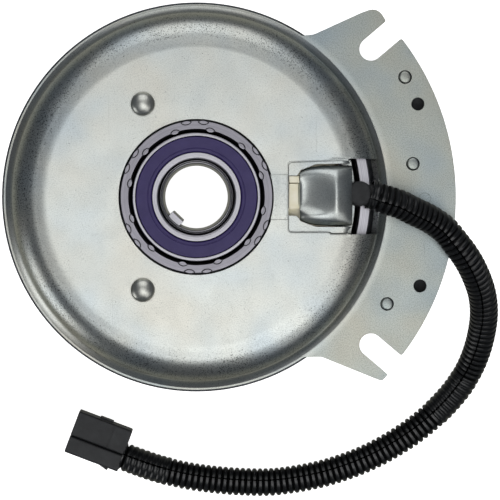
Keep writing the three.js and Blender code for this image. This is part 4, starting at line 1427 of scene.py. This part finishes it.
    def grommet(self, dresser: Dresser) -> None:
        """Makes the rubber grommet: a soft square collar with a round neck behind it."""
        low, high = spans("lead_grommet")
        corners = [(-5.2, -5.4), (5.2, -5.4), (5.2, 5.4), (-5.2, 5.4)]
        outline = rounded([(69.8 + x, 1.4 + y, 5.1) for x, y in corners], 9)
        body = Bench.plate("soft_grommet", outline, low.z + 0.2, high.z - 0.1)
        Bench.edges(body, 1.6, 50, 4)
        neck = Bench.lengthwise("neck", arc((0.6, 66), 4.7, 0, 350, 35), 72, 80)
        Bench.edges(neck, 0.7, 50, 3)
        Bench.combine(body, neck, "UNION")
        Bench.shade(body, Shade.MOULDED)
        dresser.show(body, Slot.RUBBER, "field", "lead_grommet")

    def build(self, dresser: Dresser) -> None:
        """Makes the core with its hood, the bobbin and the grommet, and dresses the coil."""
        core = Bench.joined([self.core(self.face), self.hood()])
        core.name = core.data.name = "stamped_core"
        Bench.shade(core, Shade.STAMPED)
        dresser.show(core, Slot.ZINC, "field", "field_core")
        self.bobbin(dresser)
        self.grommet(dresser)
        dresser.keep(Slot.COIL, "coil_winding")
        dresser.keep(Slot.LEAD, "coil_lead_1", "coil_lead_2")


# ---------------------------------------------------------------- brake


@dataclass
class Brake:
    """The brake under the fan: a plate with poles and magnets, hung on spacers and bolts.

    Attributes:
        hole: radius of the bolt holes, in millimetres.
        shank: radius of the bolts.
        pitch: one turn of their thread to the next.
    """

    hole: float = 3.1
    shank: float = 2.75
    pitch: float = 0.8

    def plate(self, dresser: Dresser) -> None:
        """Makes the plate with its three bolt holes."""
        low, high = spans("brake_plate")
        plate = Bench.plate("brake_bar", sector(76, 112, -34.5, 34.5, 3), low.z, high.z)
        for angle, radius in BOLTS:
            Bench.combine(plate, Bench.rod("hole", self.hole, low.z - 2, high.z + 2, polar(radius, angle)))
        Bench.edges(plate, 0.35)
        Bench.shade(plate, Shade.STAMPED)
        dresser.show(plate, Slot.ZINC, "field", "brake_plate")

    def blocks(self, dresser: Dresser) -> None:
        """Makes the two poles and the two magnets."""
        pieces = [
            ("brake_pole_1", 76.4, 85.6, 4, 32, Slot.STEEL),
            ("brake_pole_2", 76.4, 85.6, -32, -4, Slot.STEEL),
            ("brake_magnet_1", 90, 110, 14, 25.2, Slot.FERRITE),
            ("brake_magnet_2", 90, 110, -24.4, -13, Slot.FERRITE),
        ]
        for node, inner, outer, start, end, slot in pieces:
            low, high = spans(node)
            block = Bench.plate(f"{node}_block", sector(inner, outer, start, end, 1), low.z, high.z)
            Bench.edges(block, 0.4)
            Bench.shade(block, Shade.STAMPED)
            dresser.show(block, slot, "field", node)

    def bolt(self) -> bpy.types.Object:
        """Turns a threaded bolt with a hexagon head, on the axis."""
        low, high = spans("brake_bolt_1")
        seat = low.z + 4
        profile = [(0, seat - 1), (self.shank, seat - 1), (self.shank, seat + 7.5)]
        for index in range(int((high.z - 1.2 - seat - 8) / self.pitch)):
            height = seat + 8 + index * self.pitch
            profile += [(self.shank - 0.35, height + 0.2), (self.shank, height + 0.5)]
        profile += [(self.shank, high.z - 0.6), (self.shank - 0.25, high.z - 0.2)]
        profile += [(self.shank - 0.8, high.z), (0, high.z)]
        body = Bench.turned("bolt", profile, 32)
        hexagon = Bench.plate("head", arc((0, 0), 5.8, 0, 300, 5), low.z, seat)
        dome = Bench.turned("dome", rounded([(0, low.z - 1, 0), (4.6, low.z - 1, 0), (7, low.z + 1.6, 0),
                                             (7, seat + 1, 0), (0, seat + 1, 0)]), 48)
        Bench.combine(hexagon, dome, "INTERSECT")
        Bench.edges(hexagon, 0.2)
        Bench.combine(hexagon, body, "UNION")
        Bench.shade(hexagon, Shade.STAMPED)
        return hexagon

    def build(self, dresser: Dresser) -> None:
        """Makes the brake."""
        self.plate(dresser)
        self.blocks(dresser)
        bolt = self.bolt()
        low, high = spans("brake_spacer_1")
        tube = rounded([(3.2, low.z, 0.3), (6, low.z, 0.4), (6, high.z, 0.4), (3.2, high.z, 0.3)])
        spacer = Bench.turned("spacer", tube, 48)
        Bench.shade(spacer, Shade.STAMPED)
        for number, (angle, radius) in enumerate(BOLTS, 1):
            where = shift(*polar(radius, angle), 0)
            twin = Bench.copied(bolt, f"hexagon_bolt_{number}", where)
            dresser.show(twin, Slot.ZINC, "field", f"brake_bolt_{number}")
            twin = Bench.copied(spacer, f"spacer_tube_{number}", where)
            dresser.show(twin, Slot.STEEL, "field", f"brake_spacer_{number}")
        bpy.data.objects.remove(bolt)
        bpy.data.objects.remove(spacer)


# ---------------------------------------------------------------- rotor


@dataclass
class Rotor:
    """What turns with the crankshaft: the keyed hub, the slotted rotor disc, a spacer and a snap ring.

    Attributes:
        bore: radius of the bore, in millimetres.
        key: width, inner radius and angle of the key.
    """

    bore: float = 14.29
    key: tuple[float, float, float] = (6.35, 11.4, 226.5)

    def hub(self, dresser: Dresser) -> None:
        """Turns the hub and adds the key in its bore."""
        low, high = spans("rotor_hub")
        profile = rounded([
            (self.bore, low.z, 0.5), (17.4, low.z, 0.5), (17.4, 2.3, 0), (16.4, 2.3, 0.2), (16.4, 3.9, 0.2),
            (17.4, 3.9, 0), (17.4, 39.9, 0.3), (20, 39.9, 0.3), (20, 46.3, 0.3), (19, 46.3, 0.3),
            (19, 50.7, 0.2), (15.95, 50.7, 0.3), (15.95, high.z - 1.9, 0.4), (15.4, high.z - 0.7, 0.1),
            (15.3, high.z - 1.9, 0), (14.95, high.z - 1.9, 0), (14.9, high.z - 0.1, 0.08),
            (14.6, high.z, 0.08), (self.bore, high.z - 0.4, 0.1),
        ], 3)
        hub = Bench.turned("keyed_hub", profile, 128)
        width, reach, angle = self.key
        half = width / 2
        outline = rounded([(reach, -half, 0.3), (15, -half, 0), (15, half, 0), (reach, half, 0.3)])
        key = Bench.plate("key", outline, low.z + 0.4, high.z - 0.8)
        Bench.edges(key, 0.45, 50)
        Bench.combine(hub, Bench.place(key, turn(angle)), "UNION")
        Bench.shade(hub, Shade.STAMPED)
        dresser.show(hub, Slot.BEARING, "rotor", "rotor_hub")

    def disc(self, dresser: Dresser) -> None:
        """Turns the disc and cuts its two rows of flux slots."""
        low, high = spans("rotor_disc")
        profile = rounded([
            (20.3, low.z, 0.3), (75.4, low.z, 0.6), (75.4, high.z, 0.5), (70.7, high.z, 0.5), (70.7, 46, 1.5),
            (20.3, 46, 0.3),
        ])
        disc = Bench.turned("slotted_rotor", profile, 160)
        for inner, outer, start, sweep in ((43, 46, 0, 44), (58, 61, 30, 48)):
            for index in range(6):
                middle = start + 60 * index
                outline = sector(inner, outer, middle - sweep / 2, middle + sweep / 2, 1.2)
                Bench.combine(disc, Bench.plate("slot", outline, low.z - 2, 48))
        Bench.shade(disc, Shade.TURNED)
        dresser.show(disc, Slot.BEARING, "rotor", "rotor_disc")

    def build(self, dresser: Dresser) -> None:
        """Makes the rotor's pieces."""
        self.hub(dresser)
        self.disc(dresser)
        low, high = spans("hub_spacer")
        tube = rounded([(17.6, low.z, 0.3), (21, low.z, 0.5), (21, high.z, 0.5), (17.6, high.z, 0.3)])
        spacer = Bench.turned("hub_spacer_tube", tube, 96)
        Bench.shade(spacer, Shade.STAMPED)
        dresser.show(spacer, Slot.STEEL, "rotor", "hub_spacer")
        snap_ring("hub_snap_ring", 16.6, 20.3, 40, "rotor", dresser)


def snap_ring(node: str, inner: float, outer: float, gap: float, body: str, dresser: Dresser) -> None:
    """Makes a snap ring: an open ring with an eye at each end.

    Args:
        node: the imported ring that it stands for.
        inner: inner radius, in millimetres.
        outer: outer radius, in millimetres.
        gap: how wide the opening is, in degrees.
        body: the body that it moves with.
        dresser: what gives it its finish.
    """
    low, high = spans(node)
    outline = sector(inner, outer, 90 + gap / 2, 450 - gap / 2, 0.8)
    ring = Bench.plate(f"{node}_open", outline, low.z, high.z)
    middle = (inner + outer) / 2
    for side in (-1, 1):
        place = polar(middle, 90 + side * (gap / 2 + math.degrees(1.6 / middle)))
        Bench.combine(ring, Bench.rod("eye", 0.7, low.z - 1, high.z + 1, place))
    Bench.edges(ring, 0.12)
    Bench.shade(ring, Shade.STAMPED)
    dresser.show(ring, Slot.STEEL, body, node)


# ---------------------------------------------------------------- armature and pulley


@dataclass
class Armature:
    """The armature disc, its three leaf springs and their rivets.

    Attributes:
        circle: radius of the rivets' circle, in millimetres.
        sweep: the angle from one end of a spring to the other, in degrees.
        end: radius of a spring's round ends.
        shank: radius of the rivets.
        head: radius of their heads.
        clearance: how far a spring's underside stands back for the rivet that rises below it.
    """

    circle: float = 58
    sweep: float = 50
    end: float = 7
    shank: float = 2.6
    head: float = 5
    clearance: float = 0.1

    def disc(self, dresser: Dresser) -> None:
        """Makes the armature disc with its flux slots and rivet holes."""
        low, high = spans("armature_disc")
        profile = rounded([(33, low.z, 0.4), (86, low.z, 0.5), (86, high.z, 0.5), (33, high.z, 0.4)])
        disc = Bench.turned("slotted_armature", profile, 180)
        for index in range(6):
            middle = 30 + 60 * index
            outline = sector(50.5, 53.5, middle - 16, middle + 16, 1.2)
            Bench.combine(disc, Bench.plate("slot", outline, low.z - 2, high.z + 2))
        for index in range(3):
            for angle, radius in ((0, 7.5), (self.sweep, self.shank + 0.3)):
                place = polar(self.circle, 120 * index + angle)
                Bench.combine(disc, Bench.rod("hole", radius, low.z - 2, high.z + 2, place))
        Bench.shade(disc, Shade.TURNED)
        dresser.show(disc, Slot.IRON, "armature", "armature_disc")

    def spring(self, index: int, dresser: Dresser) -> None:
        """Makes one leaf spring."""
        node = f"leaf_spring_{index + 1}"
        low, high = spans(node)
        length = 2 * self.circle * math.sin(math.radians(self.sweep / 2))
        outline = arc((0, 0), self.end, 90, 270, 16) + arc((length, 0), self.end, -90, 90, 16)
        strip = Bench.plate(f"{node}_strip", outline, low.z + self.clearance, high.z)
        for x in (0, length):
            Bench.combine(strip, Bench.rod("hole", self.shank + 0.1, low.z - 1, high.z + 1, (x, 0)))
        Bench.edges(strip, 0.15)
        start = 120 * index
        Bench.place(strip, shift(*polar(self.circle, start), 0) @ turn(start + 90 + self.sweep / 2))
        Bench.shade(strip, Shade.STAMPED)
        dresser.show(strip, Slot.BEARING, "pulley", node)

    def rivet(self, node: str, place: Point, up: bool, body: str, dresser: Dresser) -> None:
        """Makes one rivet, its head above or below."""
        low, high = spans(node)
        length = high.z - low.z
        profile = [(0, 0), (self.shank, 0), (self.shank, length - 2.3), (self.head, length - 2.3)]
        profile += [(self.head, length - 1.9)] + arc((0, length - 6.2), 6.2, 40, 90, 8)
        rivet = Bench.turned(f"{node}_dome", profile, 40)
        if up:
            Bench.place(rivet, shift(*place, low.z))
        else:
            Bench.place(rivet, shift(*place, high.z) @ Matrix.Rotation(math.pi, 4, "X"))
        Bench.shade(rivet, Shade.STAMPED)
        dresser.show(rivet, Slot.ZINC, body, node)

    def build(self, dresser: Dresser) -> None:
        """Makes the armature's pieces."""
        self.disc(dresser)
        for index in range(3):
            self.spring(index, dresser)
            near, far = polar(self.circle, 120 * index), polar(self.circle, 120 * index + self.sweep)
            self.rivet(f"pulley_rivet_{index + 1}", near, True, "pulley", dresser)
            self.rivet(f"armature_rivet_{index + 1}", far, False, "armature", dresser)


@dataclass
class Pulley:
    """The belt pulley with its three spring pads and its snap ring.

    Attributes:
        outside: radius over the rims, in millimetres.
        groove: radius at the bottom of the groove.
        boss: radius of the boss round the bearing.
        pad: radius of the spring pads.
    """

    outside: float = 70
    groove: float = 59.5
    boss: float = 38
    pad: float = 8

    def build(self, dresser: Dresser) -> None:
        """Makes the pulley."""
        high = spans("pulley")[1]
        profile = rounded([
            (31.05, 1, 0.4), (self.boss, 1, 0.6), (self.boss, 17, 3), (55.5, 17, 3), (55.5, 0, 0.6),
            (self.outside, 0, 0.8), (self.outside, 4, 0.6), (self.groove, 7.4, 1.2), (self.groove, 17.3, 1.2),
            (self.outside, 20.6, 0.6), (self.outside, 24, 0.8), (28.6, 24, 0.5), (28.6, 18.3, 0),
            (31.05, 18.3, 0), (31.05, 3.7, 0), (32.4, 3.7, 0), (32.4, 2.2, 0), (31.05, 2.2, 0),
        ])
        pulley = Bench.turned("belt_pulley", profile, 180)
        for index in range(3):
            place = polar(58, 120 * index)
            pad = Bench.rod("pad", self.pad, 23, high.z, place)
            Bench.edges(pad, 0.5)
            Bench.combine(pulley, pad, "UNION")
            Bench.combine(pulley, Bench.rod("hole", 2.9, 21, high.z + 2, place))
        Bench.shade(pulley, Shade.TURNED)
        dresser.show(pulley, Slot.IRON, "pulley", "pulley")
        snap_ring("pulley_snap_ring", 28, 32.2, 36, "pulley", dresser)


# ---------------------------------------------------------------- assembly


def main() -> None:
    """Builds the studio and the clutch, outside to inside and top to bottom."""
    logging.basicConfig(level=logging.INFO, format="%(message)s")
    Studio().build()
    dresser = Dresser()
    plug = Connector().build(dresser)
    WireLoom().build(dresser, plug)
    FieldHousing().build(dresser)
    BearingCarrier().build(dresser)
    fields = ("field", "rotor", "field_bearing_rollers")
    BallBearing("field_bearing", 16.05, 19, 26, 27.5, 1.1, Slot.SEAL, fields, 2).build(dresser)
    pulleys = ("pulley", "rotor", "pulley_bearing_rollers")
    BallBearing("pulley_bearing", 17.5, 21.9, 26.9, 30.8, 0.6, Slot.RUBBER, pulleys, 1).build(dresser)
    FieldCore().build(dresser)
    Brake().build(dresser)
    Rotor().build(dresser)
    Armature().build(dresser)
    Pulley().build(dresser)


if __name__ == "__main__":
    main()
